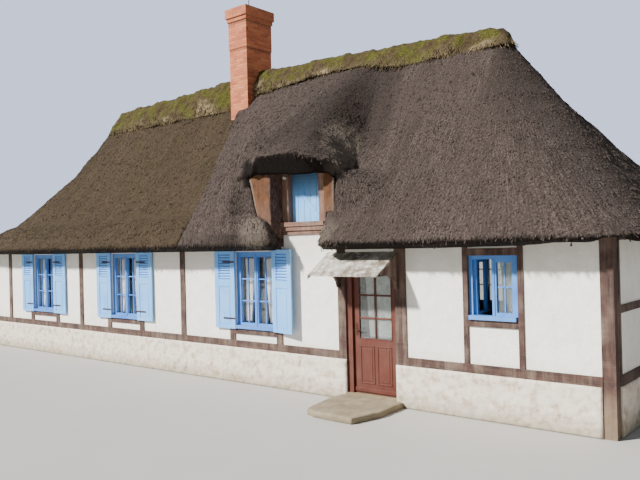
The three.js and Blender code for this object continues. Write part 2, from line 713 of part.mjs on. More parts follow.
function walling(x, y, z, members, openings = []) {
  const holes = openings.map((w) => box([w.left, w.right], [-50, WALL_THICKNESS + 50], [w.bottom, w.top]));
  return cut(box(x, y, z), [...members.map(roomFor), ...holes]);
}

// A front or back wall leaves its inner corners to the end walls, which run between the corner posts.
function longWalling(x, y, z, members, openings = []) {
  const inner = [CORNER_POST, WALL_THICKNESS + 50];
  const ends = [
    box([-WALL_THICKNESS - GAP, 0], inner, z),
    box([-LENGTH, -LENGTH + WALL_THICKNESS + GAP], inner, z),
  ];
  return cut(walling(x, y, z, members, openings), ends);
}

const WALL_Y = [PLASTER_RECESS, WALL_THICKNESS];
const WALL_Z = [PLINTH_TOP, WALL_TOP];
const PLINTH_Y = [-PLINTH_PROUD, WALL_THICKNESS];
const PLINTH_Z = [GROUND, PLINTH_TOP];
const RIGHT_X = [DOOR_POST_RIGHT[0], -CORNER_POST - GAP];
const LEFT_X = [-LENGTH + CORNER_POST + GAP, DOOR_POST_LEFT[1]];
const BACK_X = [-LENGTH + CORNER_POST + GAP, -CORNER_POST - GAP];
const END_X = [CORNER_POST + GAP, DEPTH - CORNER_POST - GAP];

function underLoftDoor() {
  const z = [WALL_TOP - 10, DORMER_SILL_BOTTOM];
  return box([DORMER_LEFT, DORMER_RIGHT], [PLASTER_RECESS, PLATE_WIDTH], z);
}

const frontRight = frontRightMembers();
const frontLeft = frontLeftMembers();
const back = backMembers();
const end = endMembers();

function groundFloor() {
  const x = [-LENGTH + WALL_THICKNESS, -WALL_THICKNESS];
  const y = [WALL_THICKNESS, DEPTH - WALL_THICKNESS];
  const doorway = [DOOR_POST_LEFT[1], DOOR_POST_RIGHT[0]];
  const z = [GROUND, FLOOR_TOP];
  return join([box(x, y, z), box(doorway, [-PLINTH_PROUD, WALL_THICKNESS + 10], z)]);
}

addPiece('ground_floor', groundFloor(), FLOOR);

addPiece('front_plinth_right', longWalling(RIGHT_X, PLINTH_Y, PLINTH_Z, frontRightPosts()), STONE);
addPiece('front_plinth_left', longWalling(LEFT_X, PLINTH_Y, PLINTH_Z, frontLeftPosts()), STONE);
addPiece('back_plinth', toBack(longWalling(BACK_X, PLINTH_Y, PLINTH_Z, backPosts())), STONE);
addPiece('right_end_plinth', toRightEnd(box(END_X, PLINTH_Y, PLINTH_Z)), STONE);
addPiece('left_end_plinth', toLeftEnd(box(END_X, PLINTH_Y, PLINTH_Z)), STONE);

addPiece('front_frame_right', join(frontRight), TIMBER);
addPiece('front_frame_left', join(frontLeft), TIMBER);
addPiece('back_frame', toBack(join(back)), TIMBER);
addPiece('right_end_frame', toRightEnd(join(end)), TIMBER);
addPiece('left_end_frame', toLeftEnd(join(end)), TIMBER);

addPiece('front_wall_right', longWalling(RIGHT_X, WALL_Y, WALL_Z, frontRight, [RIGHT_WINDOW]), PLASTER);
addPiece('front_wall_left', join([
  longWalling(LEFT_X, WALL_Y, WALL_Z, frontLeft, FRONT_LEFT_WINDOWS),
  underLoftDoor(),
]), PLASTER);
addPiece('wall_over_door', box(
  [DOOR_POST_LEFT[1] + GAP, DOOR_POST_RIGHT[0] - GAP],
  WALL_Y,
  [DOOR_HEAD_TOP, WALL_TOP],
), PLASTER);
addPiece('back_wall', toBack(longWalling(BACK_X, WALL_Y, WALL_Z, back, backOpenings)), PLASTER);
addPiece('right_end_wall', toRightEnd(walling(END_X, WALL_Y, WALL_Z, end)), PLASTER);
addPiece('left_end_wall', toLeftEnd(walling(END_X, WALL_Y, WALL_Z, end)), PLASTER);

// Loft floor on the wall tops, open round the chimney
addPiece('loft_floor', cut(box(
  [-LENGTH + PLATE_WIDTH + GAP, -PLATE_WIDTH - GAP],
  [PLATE_WIDTH + GAP, DEPTH - PLATE_WIDTH - GAP],
  [WALL_TOP, WALL_TOP + LOFT_FLOOR_THICKNESS],
), [chimneyHole()]), FLOOR);

// Step: one irregular flat stone
addPiece('door_step', standing(STEP_OUTLINE, [GROUND, STEP_TOP]), STEP);

// Doorway
function doorFrame() {
  const [left, right] = [DOOR_POST_LEFT[1] + GAP, DOOR_POST_RIGHT[0] - GAP];
  return join([
    box([left, DOOR_JAMB_RIGHT_EDGE], DOOR_FRAME_Y, [FLOOR_TOP, DOOR_HEAD_TOP - GAP]),
    box([left, right], DOOR_FRAME_Y, [DOOR_HEAD_BOTTOM, DOOR_HEAD_TOP - GAP]),
  ]);
}

function doorLeaf() {
  const { left, right, bottom, top, front, thickness } = DOOR_LEAF;
  const outer = box([left, right], [front, front + thickness], [bottom, top]);
  const lightX = [DOOR_GLASS.left, DOOR_GLASS.right];
  const lightZ = [DOOR_GLASS.bottom, DOOR_GLASS.top];
  return cut(outer, [box(lightX, [front - 5, front + thickness + 5], lightZ)]);
}

function doorHandle() {
  const { x, z, plateWidth, plateHeight, reach } = HANDLE;
  const face = DOOR_LEAF.front - GAP;
  const leverY = face - reach;
  const plateX = [x - plateWidth / 2, x + plateWidth / 2];
  return join([
    box(plateX, [face - 4, face], [z - plateHeight / 2, z + plateHeight / 2]),
    box([x - 7, x + 7], [leverY - 12, face - 2], [z - 7, z + 7]),
    box([x - 7, x + 105], [leverY - 12, leverY], [z - 8, z + 8]),
  ]);
}

addPiece('door_frame', doorFrame(), RED_PAINT);
addPiece('front_door', doorLeaf(), RED_PAINT);
addPiece('door_glass', box(
  [DOOR_GLASS.left, DOOR_GLASS.right],
  [DOOR_LEAF.front + 15, DOOR_LEAF.front + 15 + DOOR_GLASS_THICKNESS],
  [DOOR_GLASS.bottom, DOOR_GLASS.top],
), GLASS);
addPiece('door_handle', doorHandle(), IRON);

// Canopy over the door: a sloping sheet with a board along its left edge
function canopy() {
  const [backY, backZ] = CANOPY.back;
  const [frontY, frontZ] = CANOPY.front;
  const rise = CANOPY.thickness * Math.hypot(1, CANOPY_FALL);
  const slab = (depth) => {
    const outline = new THREE.Shape();
    outline.moveTo(backY, backZ);
    outline.lineTo(frontY, frontZ);
    outline.lineTo(frontY, frontZ - depth);
    outline.lineTo(backY, backZ - depth);
    return outline;
  };
  return join([
    sideExtrusion(slab(rise), CANOPY.left, CANOPY.right - CANOPY.left),
    sideExtrusion(slab(CANOPY.board), CANOPY.left - CANOPY.boardWidth + 2, CANOPY.boardWidth),
  ]);
}

addPiece('door_canopy', canopy(), SHEET);

// Windows
function windowLight(x, z) {
  return box(x, [WINDOW_Y[0] - 10, WINDOW_Y[1] + 10], z);
}

function windowSill(w) {
  const z = [w.bottom, w.bottom + WINDOW_SILL];
  return box([w.left + 20, w.right - 20], [-WINDOW_SILL_PROUD, WINDOW_Y[1]], z);
}

function windowBody(w) {
  return join([box([w.left, w.right], WINDOW_Y, [w.bottom, w.top]), windowSill(w)]);
}

function lightsOf(w) {
  const middle = (w.left + w.right) / 2;
  const rim = WINDOW_FRAME + WINDOW_SASH;
  const z = [w.bottom + WINDOW_SILL + WINDOW_SASH, w.top - rim];
  return [[[w.left + rim, middle - WINDOW_SASH], z], [[middle + WINDOW_SASH, w.right - rim], z]];
}

function closedWindow(w) {
  return cut(windowBody(w), lightsOf(w).map(([x, z]) => windowLight(x, z)));
}

// The right window stands with its left casement turned into the room.
function openWindow(w) {
  const middle = (w.left + w.right) / 2;
  const gapX = [w.left + WINDOW_FRAME, middle];
  const gapZ = [w.bottom + WINDOW_SILL, w.top - WINDOW_FRAME];
  const [x, z] = lightsOf(w)[1];
  const body = cut(windowBody(w), [windowLight(gapX, gapZ), windowLight(x, z)]);
  const leafX = [gapX[0] - 5, gapX[0] + WINDOW_SASH - 5];
  const leafY = [WINDOW_Y[1] - 10, WINDOW_Y[1] + middle - gapX[0]];
  const leaf = box(leafX, leafY, [gapZ[0] + 5, gapZ[1] - 5]);
  const pane = box(
    [leafX[0] - 5, leafX[1] + 5],
    [leafY[0] + WINDOW_SASH + 10, leafY[1] - WINDOW_SASH],
    [gapZ[0] + WINDOW_SASH, gapZ[1] - WINDOW_SASH],
  );
  return join([body, cut(leaf, [pane])]);
}

addPiece('right_window', openWindow(RIGHT_WINDOW), BLUE_PAINT);
for (const w of FRONT_LEFT_WINDOWS) addPiece(`${w.name}_window`, closedWindow(w), BLUE_PAINT);
for (const w of backOpenings) addPiece(`${w.name}_window`, toBack(closedWindow(w)), BLUE_PAINT);

// Glass: one pane in the right window, and one sheet a wall behind the other windows
function glassPane(w) {
  const [x, z] = lightsOf(w)[1];
  const y = (WINDOW_Y[0] + WINDOW_Y[1]) / 2;
  return box(x, [y, y + GLASS_THICKNESS], z);
}

function glassSheet(windows) {
  const x = [Math.min(...windows.map((w) => w.left)) - 20, Math.max(...windows.map((w) => w.right)) + 20];
  const y = WALL_THICKNESS + GAP;
  return box(x, [y, y + GLASS_THICKNESS], [windows[0].bottom, windows[0].top]);
}

addPiece('right_window_glass', glassPane(RIGHT_WINDOW), GLASS);
addPiece('front_windows_glass', glassSheet(FRONT_LEFT_WINDOWS), GLASS);
addPiece('back_windows_glass', toBack(glassSheet(backOpenings)), GLASS);

// Shutters, folded back against the wall on two lugs each
function shutter(side, turn = 0) {
  const { width, bottom, top, thickness, back: backY } = SHUTTER;
  const panel = box([0, width], [-thickness, 0], [bottom, top]);
  const reach = -TIMBER_PROUD - backY - GAP;
  const lugX = [STUD_OFFSET + SHUTTER_INSET, STUD_OFFSET + SHUTTER_INSET + SHUTTER_LUG];
  const lugEnd = (reach + lugX[0] * Math.sin(turn)) / Math.cos(turn);
  const lugs = SHUTTER_LUG_LEVELS.map((z) => box(lugX, [-1, lugEnd], [z, z + SHUTTER_LUG]));
  const geometry = join([panel, ...lugs]).rotateZ(-turn);
  return side === 'right' ? geometry : turned(geometry.scale(-1, 1, 1));
}

for (const w of FRONT_LEFT_WINDOWS) {
  const turn = w.name === 'middle' ? OPEN_SHUTTER_TURN : 0;
  const right = shutter('right', turn).translate(w.right - SHUTTER_INSET, SHUTTER.back, 0);
  const left = shutter('left').translate(w.left + SHUTTER_INSET, SHUTTER.back, 0);
  addPiece(`${w.name}_shutter_right`, right, SHUTTER_PAINT);
  addPiece(`${w.name}_shutter_left`, left, SHUTTER_PAINT);
}

// Dormer
function dormerFrame() {
  const x = [DORMER_LEFT, DORMER_RIGHT];
  const mouldings = DORMER_SILL_PROUD.map((proud, i) => {
    const height = (DORMER_SILL_TOP - DORMER_SILL_BOTTOM) / DORMER_SILL_PROUD.length;
    const bottom = DORMER_SILL_BOTTOM + i * height;
    return box(x, [-proud, DORMER_DEPTH], [bottom, bottom + height]);
  });
  const posts = [[DORMER_LEFT, DORMER_LEFT + DORMER_POST], [DORMER_RIGHT - DORMER_POST, DORMER_RIGHT]];
  return join([
    ...mouldings,
    ...posts.map((px) => box(px, [0, DORMER_DEPTH], [DORMER_SILL_TOP - 10, DORMER_HEAD_TOP])),
    box(x, [0, DORMER_DEPTH], [DORMER_HEAD_BOTTOM, DORMER_HEAD_TOP]),
  ]);
}

const swell = swellThatch();
const hood = hoodThatch();
const rightSlope = frontRightThatch();
const leftSlope = frontLeftThatch();
const backSlope = backThatch();

const AROUND = [[1, 0, 0], [-1, 0, 0], [0, -1, 0], [0, 1, 0]];
const CHEEK_ROOM = [...AROUND, [0, 0, 1]];
const HOOD_ROOM = [...AROUND, [0, 0, -1]];

// The left cheek faces the front, and a return joins it to the post.
function leftCheek() {
  const { x, y, z, returnEnd } = LEFT_CHEEK;
  const postX = DORMER_LEFT - GAP;
  const plank = box(x, [y, y + CHEEK_THICKNESS], z);
  const inner = postX - CHEEK_THICKNESS;
  const back = standing([
    [x[1] - 1, y], [x[1] + CHEEK_THICKNESS, y], [postX, 0], [postX, returnEnd], [inner, returnEnd],
    [inner, 0], [x[1] - 1, y + CHEEK_THICKNESS],
  ], [PLATE_TOP + GAP, z[1]]);
  return cut(join([plank, back]), [...withGap(swell, CHEEK_ROOM), ...withGap(hood, HOOD_ROOM)]);
}

// The right cheek has a face to the front and one along the dormer's side.
function rightCheek() {
  const { depth, top, frontWidth, frontY, frontTop } = RIGHT_CHEEK;
  const left = DORMER_RIGHT + GAP;
  const foot = PLATE_TOP + GAP;
  const side = box([left, left + CHEEK_THICKNESS], [frontY, depth], [foot, top]);
  const front = box([left, left + frontWidth], [frontY, frontY + CHEEK_THICKNESS], [foot, frontTop]);
  return cut(join([side, front]), [...withGap(rightSlope, CHEEK_ROOM), ...withGap(hood, HOOD_ROOM)]);
}

addPiece('dormer_frame', dormerFrame(), TIMBER);
addPiece('loft_door', box(
  [DORMER_LEFT + DORMER_POST, DORMER_RIGHT - DORMER_POST],
  [LOFT_DOOR_Y, LOFT_DOOR_Y + LOFT_DOOR_THICKNESS],
  [DORMER_SILL_TOP, DORMER_HEAD_BOTTOM],
), BLUE_PAINT);
addPiece('dormer_cheek_left', leftCheek(), CLAY);
addPiece('dormer_cheek_right', rightCheek(), CLAY);

// Roof
addPiece('thatch_front_right', rightSlope, THATCH);
addPiece('thatch_front_middle', swell, THATCH);
addPiece('thatch_dormer_hood', hood, THATCH);
addPiece('thatch_front_left', leftSlope, OLD_THATCH);
addPiece('thatch_right_hip', rightHipThatch(), THATCH);
addPiece('thatch_left_hip', leftHipThatch(), OLD_THATCH);
addPiece('thatch_back', backSlope, THATCH);

const rightOfChimney = [
  CHIMNEY.right + CHIMNEY_CLEARANCE, -8000, -7500, -7000, -6500, -6150, -5800, -5500, -5250, -5120, -5000,
  -4900, -4600, -3900, -3300,
];
const leftOfChimney = [CHIMNEY.left - CHIMNEY_CLEARANCE, -10500, -12500];
const hipLines = (old) => [besideHip(old), ...frontCorner(old), ...endCorner(old).slice(1)];
const rightCap = [...rightOfChimney.map((x) => straightLine(x)), ...hipLines()];
const leftCap = [...leftOfChimney.map((x) => straightLine(x, x, true)), ...hipLines(true).map(toLeft)];
addPiece('ridge_cap_right', ridgeCap([...rightCap, ...rightCap.map(toRear).reverse()]), TURF);
addPiece('ridge_cap_left', ridgeCap([...leftCap.map(toRear), ...leftCap.reverse()]), TURF);

addPiece('chimney', chimneyStack(), BRICK);

const centre = new THREE.Box3().setFromObject(cottage);
cottage.position.set(
  -(centre.min.x + centre.max.x) / 2,
  -(centre.min.y + centre.max.y) / 2,
  -centre.min.z,
);

export default cottage;
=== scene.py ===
"""Looks of the thatched cottage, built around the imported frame. Metres throughout."""
import math

import bmesh
import bpy
import numpy as np
from mathutils import Matrix, Vector, noise


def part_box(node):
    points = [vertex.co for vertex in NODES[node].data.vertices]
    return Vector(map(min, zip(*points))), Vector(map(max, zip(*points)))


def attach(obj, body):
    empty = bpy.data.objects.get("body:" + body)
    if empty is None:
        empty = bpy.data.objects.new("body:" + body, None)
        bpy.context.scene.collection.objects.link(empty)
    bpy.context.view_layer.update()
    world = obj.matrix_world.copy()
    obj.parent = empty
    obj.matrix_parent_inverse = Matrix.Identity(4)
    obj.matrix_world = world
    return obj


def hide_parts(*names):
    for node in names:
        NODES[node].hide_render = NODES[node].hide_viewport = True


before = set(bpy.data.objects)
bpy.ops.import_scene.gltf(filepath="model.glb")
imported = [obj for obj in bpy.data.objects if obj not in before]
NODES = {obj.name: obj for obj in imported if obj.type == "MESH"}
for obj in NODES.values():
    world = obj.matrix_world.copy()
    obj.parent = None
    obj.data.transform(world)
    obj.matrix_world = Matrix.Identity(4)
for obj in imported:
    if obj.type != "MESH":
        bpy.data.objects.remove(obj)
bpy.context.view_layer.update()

# The drawing's corner: right end, front face and door threshold, in the row frame
CORNER = Vector((8.3500004, -2.1251499, 0.12))
RIDGE_Y = 0.375
RIDGE_ENDS = (-5.8, 5.8)
RIDGE_FOOT_Z = 6.2


def at(x, y, z):
    return CORNER + Vector((x, y, z))


def add_object(name, data):
    obj = bpy.data.objects.new(name, data)
    bpy.context.scene.collection.objects.link(obj)
    return obj


# Camera

CAMERA_PLACE = (11.122, -11.125, 2.567)
HEADING, PITCH, ROLL = 39.8, 90.16, -1.43
camera_data = bpy.data.cameras.new("camera")
camera_data.lens = 39.375
camera_data.sensor_width = 36
camera = add_object("camera", camera_data)
camera_turn = (
    Matrix.Rotation(math.radians(HEADING), 4, "Z")
    @ Matrix.Rotation(math.radians(PITCH), 4, "X")
    @ Matrix.Rotation(math.radians(ROLL), 4, "Z")
)
camera.matrix_world = Matrix.Translation(CAMERA_PLACE) @ camera_turn
bpy.context.scene.camera = camera


# Node trees

def linear(colour):
    """Eye values, 0 to 255, as the linear colour that nodes take. A socket stays as it is."""
    if not isinstance(colour, tuple):
        return colour
    shares = [value / 255 for value in colour]
    return (*(s / 12.92 if s <= 0.04045 else ((s + 0.055) / 1.055) ** 2.4 for s in shares), 1.0)


class Recipe:
    """A node tree filled by short calls, each of which gives back a socket."""

    def __init__(self, tree):
        self.tree = tree

    def plug(self, socket, value):
        if isinstance(value, bpy.types.NodeSocket):
            self.tree.links.new(value, socket)
        elif value is not None:
            socket.default_value = value

    def add(self, kind, inputs, output=0, **settings):
        node = self.tree.nodes.new(kind)
        for name, value in settings.items():
            setattr(node, name, value)
        for key, value in inputs.items():
            self.plug(node.inputs[key], value)
        return node.outputs[output]

    def close(self, value):
        """Ends a node group with its one output."""
        end = self.tree.nodes.new("NodeGroupOutput")
        self.plug(end.inputs[0], value)
        return self.tree

    def map(self, name):
        return self.add("ShaderNodeUVMap", {}, uv_map=name)

    def value(self, name):
        """A number that the mesh keeps for each point."""
        return self.add("ShaderNodeAttribute", {}, "Fac", attribute_name=name)

    def named(self, name, kind="FLOAT"):
        """What the mesh keeps for each point, in a geometry tree."""
        return self.add("GeometryNodeInputNamedAttribute", {"Name": name}, 0, data_type=kind)

    def axis(self, vector, name):
        return self.add("ShaderNodeSeparateXYZ", {0: vector}, name)

    def vector(self, x, y, z):
        return self.add("ShaderNodeCombineXYZ", {"X": x, "Y": y, "Z": z})

    def scaled(self, vector, scale):
        return self.add("ShaderNodeMapping", {"Vector": vector, "Scale": scale})

    def noise(self, vector, scale, detail=3.0, roughness=0.55, distortion=0.0):
        inputs = {
            "Vector": vector, "Scale": scale, "Detail": detail,
            "Roughness": roughness, "Distortion": distortion,
        }
        return self.add("ShaderNodeTexNoise", inputs, "Fac")

    def stretched(self, vector, scale, detail, roughness):
        """Noise with its own scale along each axis."""
        return self.noise(self.scaled(vector, scale), 1.0, detail, roughness)

    def span(self, value, low, high, start=0.0, end=1.0):
        inputs = {"Value": value, "From Min": low, "From Max": high, "To Min": start, "To Max": end}
        return self.add("ShaderNodeMapRange", inputs)

    def sums(self, operation, a, b=0.0):
        return self.add("ShaderNodeMath", {0: a, 1: b}, operation=operation)

    def times(self, a, b):
        return self.sums("MULTIPLY", a, b)

    def plus(self, a, b):
        return self.sums("ADD", a, b)

    def minus(self, a, b):
        return self.sums("SUBTRACT", a, b)

    def random(self, low, high, seed, kind="FLOAT"):
        first = 0 if kind == "FLOAT_VECTOR" else 2
        inputs = {first: low, first + 1: high, "Seed": seed}
        return self.add("FunctionNodeRandomValue", inputs, first // 2, data_type=kind)

    def mix(self, share, a, b):
        return self.add("ShaderNodeMix", {0: share, 6: linear(a), 7: linear(b)}, 2, data_type="RGBA")

    def shades(self, value, *stops):
        colour = self.add("ShaderNodeValToRGB", {0: value})
        ramp = colour.node.color_ramp
        while len(ramp.elements) < len(stops):
            ramp.elements.new(0.5)
        for element, (place, shade) in zip(ramp.elements, stops):
            element.position = place
            element.color = linear(shade)
        return colour

    def group(self, tree, **values):
        return self.add("ShaderNodeGroup", values, node_tree=tree)


class Finish(Recipe):
    """The node tree of a new material. Its patterns follow the place on the object."""

    def __init__(self, name):
        self.material = bpy.data.materials.new(name)
        self.material.use_nodes = True
        super().__init__(self.material.node_tree)
        self.place = self.add("ShaderNodeTexCoord", {}, "Object")

    def spots(self, *settings):
        return self.noise(self.place, *settings)

    def level(self, low, high, start=0.0, end=1.0):
        """A share that changes between two heights."""
        return self.span(self.axis(self.place, "Z"), low, high, start, end)

    def grain(self, scale=1.0, turn=(0, 0, 0)):
        """Wood fibres that run up, or another way once they are turned."""
        turned = self.add("ShaderNodeMapping", {"Vector": self.place, "Rotation": turn})
        return self.group(GRAIN, Vector=turned, Scale=scale)

    def coat(self, body, share, strength, colour):
        """A body colour with another one over it, by a share times a strength."""
        return self.mix(self.times(share, strength), body, colour)

    def stained(self, body, scale, strength, colour):
        return self.coat(body, self.group(STAINS, Vector=self.place, Scale=scale), strength, colour)

    def splashed(self, body, height, strength, colour):
        return self.coat(body, self.group(SPLASH, Vector=self.place, Height=height), strength, colour)

    def surface(
        self, colour, grit, roughness, height=None, depth=0.0, strength=1.0, usual=(0.3, 0.7), more=None,
    ):
        """The material, with its colour plugged in, bumps, and a roughness that follows the grit.

        usual is the span of the grit's values. more holds further inputs of the shader."""
        inputs = {"Base Color": colour, "Roughness": self.span(grit, *usual, *roughness), **(more or {})}
        if height:
            bumps = {"Height": height, "Distance": depth, "Strength": strength}
            inputs["Normal"] = self.add("ShaderNodeBump", bumps)
        shader = self.tree.nodes["Principled BSDF"]
        for name, value in inputs.items():
            self.plug(shader.inputs[name], value)
        return self.material


def open_group(kind, name, inputs, output):
    """An empty node group with its sockets. It gives back its recipe and its input sockets."""
    tree = bpy.data.node_groups.new(name, f"{kind}NodeTree")
    for label, form in inputs.items():
        tree.interface.new_socket(name=label, in_out="INPUT", socket_type=f"NodeSocket{form}")
    label, form = output
    tree.interface.new_socket(name=label, in_out="OUTPUT", socket_type=f"NodeSocket{form}")
    return Recipe(tree), tree.nodes.new("NodeGroupInput").outputs


def open_effect(name, number, output):
    """A shader group that takes a place and a number. It gives back its recipe and both sockets."""
    r, given = open_group("Shader", name, {"Vector": "Vector", number: "Float"}, (output, "Float"))
    return r, given["Vector"], given[number]


def grain_effect():
    """Wood fibres: long soft streaks with fine pores. The place's Z runs along the grain."""
    r, place, scale = open_effect("wood grain", "Scale", "Grain")
    broad = r.noise(r.scaled(place, (14, 14, 1.1)), scale, 5, 0.6, 0.6)
    fine = r.noise(r.scaled(place, (90, 90, 3.5)), scale, 2, 0.5)
    return r.close(r.plus(r.times(broad, 0.65), r.times(fine, 0.35)))


def stain_effect():
    """Rain stains: streaks that run down, broken up by broad patches."""
    r, place, scale = open_effect("rain stains", "Scale", "Stain")
    streaks = r.noise(r.scaled(place, (5, 5, 0.35)), scale, 4, 0.6)
    patches = r.noise(place, r.times(scale, 1.3), 4, 0.6)
    return r.close(r.span(r.times(streaks, patches), 0.2, 0.42))


def splash_effect():
    """Splashed earth: full at the ground and gone at the given height, with a ragged edge."""
    r, place, reach = open_effect("ground splash", "Height", "Splash")
    ragged = r.noise(place, 7.0, 5, 0.65)
    height = r.minus(r.axis(place, "Z"), r.times(ragged, reach))
    return r.close(r.span(height, r.times(reach, 0.5), -0.1))


GRAIN = grain_effect()
STAINS = stain_effect()
SPLASH = splash_effect()
LYING = {"X": (0, math.pi / 2, 0), "Y": (math.pi / 2, 0, 0)}
ENDS_AND_SHADE_COLOUR = (18, 13, 10)
PALE_AND_LIGHT_REED = (128, 118, 106)
DULL = {"Specular IOR Level": 0.12}
EAVE_SHADE_Z = (2.1, 2.55)
BRICK_LEDGES_Z = (7.03, 7.63)
SOOT_Z = (7.6, 7.96)
CHEEK_FOOT_Z = (3.35, 2.9)
BOARDS_PER_METRE = 5.5


# Finishes

def weathered(r, body, dark, paleness):
    """Reed with dark cut ends and painted shade where it faces down, damp places, and pale places: frayed
    ends and painted light on the hood's shaded flank.
    """
    body = r.mix(r.value("ends_and_shade"), body, ENDS_AND_SHADE_COLOUR)
    body = r.coat(body, r.value("damp"), 0.5, dark)
    return r.coat(body, r.value("pale_ends_and_light"), paleness, PALE_AND_LIGHT_REED)


def reed_finish(name, dark, middle, light, moss, moss_share):
    """Thatch: cut reed ends as a fine speckle, faint streaks down the slope and broad weather patches."""
    r = Finish(name)
    reed = r.map("reed")
    ends = r.stretched(reed, (42, 24, 1), 2, 0.75)
    strands = r.stretched(reed, (60, 2.2, 1), 3, 0.6)
    streaks = r.stretched(reed, (2.6, 0.3, 1), 4, 0.6)
    patches = r.spots(0.55, 4, 0.6)
    speckle = r.plus(r.times(ends, 0.62), r.times(strands, 0.38))
    body = r.shades(speckle, (0.36, dark), (0.5, middle), (0.64, light))
    body = r.mix(r.span(streaks, 0.42, 0.66, 0, 0.4), body, dark)
    body = r.mix(r.span(patches, 0.4, 0.62, 0, 0.45), body, middle)
    mossy = r.span(r.spots(1.7, 6, 0.7), 0.62 - moss_share, 0.78 - moss_share)
    body = weathered(r, r.coat(body, mossy, 0.55, moss), dark, 0.65)
    height = r.plus(ends, r.times(strands, 0.6))
    return r.surface(body, ends, (0.86, 1.0), height, 0.03, 0.9, more=DULL)


def stub_finish(name, dark, light):
    """Single reed stubs: each has its own tone."""
    r = Finish(name)
    patches = r.spots(0.7, 4, 0.6)
    body = r.shades(r.value("tone"), (0.0, dark), (1.0, light))
    body = r.mix(r.span(patches, 0.35, 0.65, 0, 0.45), body, dark)
    body = weathered(r, body, dark, 0.35)
    streak = r.spots(60.0, 2)
    return r.surface(body, streak, (0.85, 1.0), streak, 0.004, more=DULL)


def turf_finish():
    """Clay ridge under moss, with brown bare spots and pale dry straw low on its sides."""
    r = Finish("mossy clay ridge")
    clumps = r.spots(3.2, 6, 0.7)
    fine = r.spots(38.0, 4, 0.75)
    moss = r.shades(fine, (0.3, (34, 32, 12)), (0.5, (66, 66, 24)), (0.7, (108, 106, 48)))
    clay = r.shades(fine, (0.3, (38, 29, 20)), (0.55, (70, 58, 40)), (0.75, (104, 90, 64)))
    body = r.mix(r.span(clumps, 0.42, 0.56), clay, moss)
    straw = r.shades(fine, (0.3, (48, 40, 30)), (0.65, (96, 84, 64)))
    pale = r.span(r.spots(1.1, 4, 0.6), 0.5, 0.62)
    body = r.coat(body, r.value("skirt"), 0.8, r.mix(pale, straw, (150, 134, 106)))
    height = r.plus(clumps, r.times(fine, 0.4))
    return r.surface(body, fine, (0.88, 1.0), height, 0.05, more={"Specular IOR Level": 0.15})


def limewash_finish():
    """Brushed limewash over daub, yellowed low down, with painted shade under the eaves."""
    r = Finish("limewashed daub")
    lumps = r.spots(5.0, 5, 0.6)
    brush = r.stretched(r.place, (26, 26, 9), 4, 0.65)
    body = r.mix(r.span(lumps, 0.4, 0.7, 0, 0.5), (246, 244, 238), (232, 228, 216))
    body = r.stained(body, 1.0, 0.16, (176, 168, 142))
    body = r.coat(body, r.level(*EAVE_SHADE_Z), 0.3, (150, 146, 124))
    body = r.splashed(body, 1.0, 0.35, (190, 172, 140))
    height = r.plus(lumps, r.times(brush, 0.25))
    return r.surface(body, brush, (0.82, 0.95), height, 0.018)


def oak_finish(name, dark, light, along, bands):
    """Stained oak. Grain runs up, and along X or Y inside the given bands of height."""
    r = Finish(name)
    height = r.axis(r.place, "Z")
    share = 0.0
    for low, high in bands:
        inside = r.times(r.sums("GREATER_THAN", height, low), r.sums("LESS_THAN", height, high))
        share = r.sums("MAXIMUM", share, inside)
    both = {0: share, 2: r.grain(), 3: r.grain(turn=LYING[along])}
    grain = r.add("ShaderNodeMix", both, 0, data_type="FLOAT")
    body = r.shades(grain, (0.36, dark), (0.62, light))
    body = r.stained(body, 2.2, 0.32, (176, 156, 138))
    body = r.splashed(body, 0.7, 0.35, (160, 140, 112))
    return r.surface(body, grain, (0.7, 0.9), r.span(grain, 0.3, 0.42), 0.006)


def paint_finish(name, colour, worn, bare, wear=0.35, gloss=0.5, painted_shade=None):
    """Brushed paint on wood, faded in patches and worn to the bare wood in small flecks.

    painted_shade is the span of heights over which the paint is darkened towards the top, as painted shade
    under the reed brow."""
    r = Finish(name)
    fade = r.spots(2.4, 5, 0.6)
    body = r.mix(r.span(fade, 0.35, 0.68), colour, worn)
    grain = r.grain(1.3)
    flecks = r.times(r.spots(21.0, 6, 0.75), r.span(grain, 0.3, 0.7, 0.75, 1.25))
    chips = r.span(flecks, 0.62, 0.68)
    body = r.coat(body, chips, wear, bare)
    body = r.stained(body, 2.5, 0.14, (120, 112, 98))
    # Painted shade: the paint darkens towards the top of its span
    if painted_shade:
        body = r.mix(r.level(*painted_shade, 0, 0.8), body, (22, 44, 62))
    height = r.minus(grain, r.times(chips, 0.5))
    return r.surface(body, fade, (gloss, gloss + 0.2), height, 0.0025)


def brick_finish():
    """Orange-red hand-made bricks, each with its own tone, with painted shadow under the ledges and sooty
    near the top.
    """
    r = Finish("old red brick")
    sand = r.spots(70.0, 4, 0.7)
    body = r.shades(
        r.value("tone"), (0.0, (162, 80, 56)), (0.35, (182, 94, 62)),
        (0.7, (196, 110, 72)), (1.0, (206, 128, 86)),
    )
    body = r.mix(r.span(sand, 0.4, 0.75, 0, 0.35), body, (208, 140, 94))
    # Painted shadow: a dark band just under each ledge
    for ledge in BRICK_LEDGES_Z:
        near = r.times(r.level(ledge - 0.1, ledge - 0.03), r.level(ledge + 0.01, ledge - 0.01))
        body = r.coat(body, near, 0.6, (84, 46, 32))
    darkening = r.times(r.level(*SOOT_Z), r.spots(6.0, 5))
    body = r.coat(body, darkening, 0.5, (92, 66, 54))
    body = r.stained(body, 1.6, 0.25, (120, 82, 62))
    return r.surface(body, sand, (0.85, 0.97), sand, 0.004)


def mortar_finish():
    r = Finish("pale lime mortar")
    sand = r.spots(55.0, 5, 0.7)
    body = r.shades(sand, (0.3, (136, 92, 66)), (0.7, (190, 146, 108)))
    return r.surface(body, sand, (0.9, 1.0), sand, 0.005)


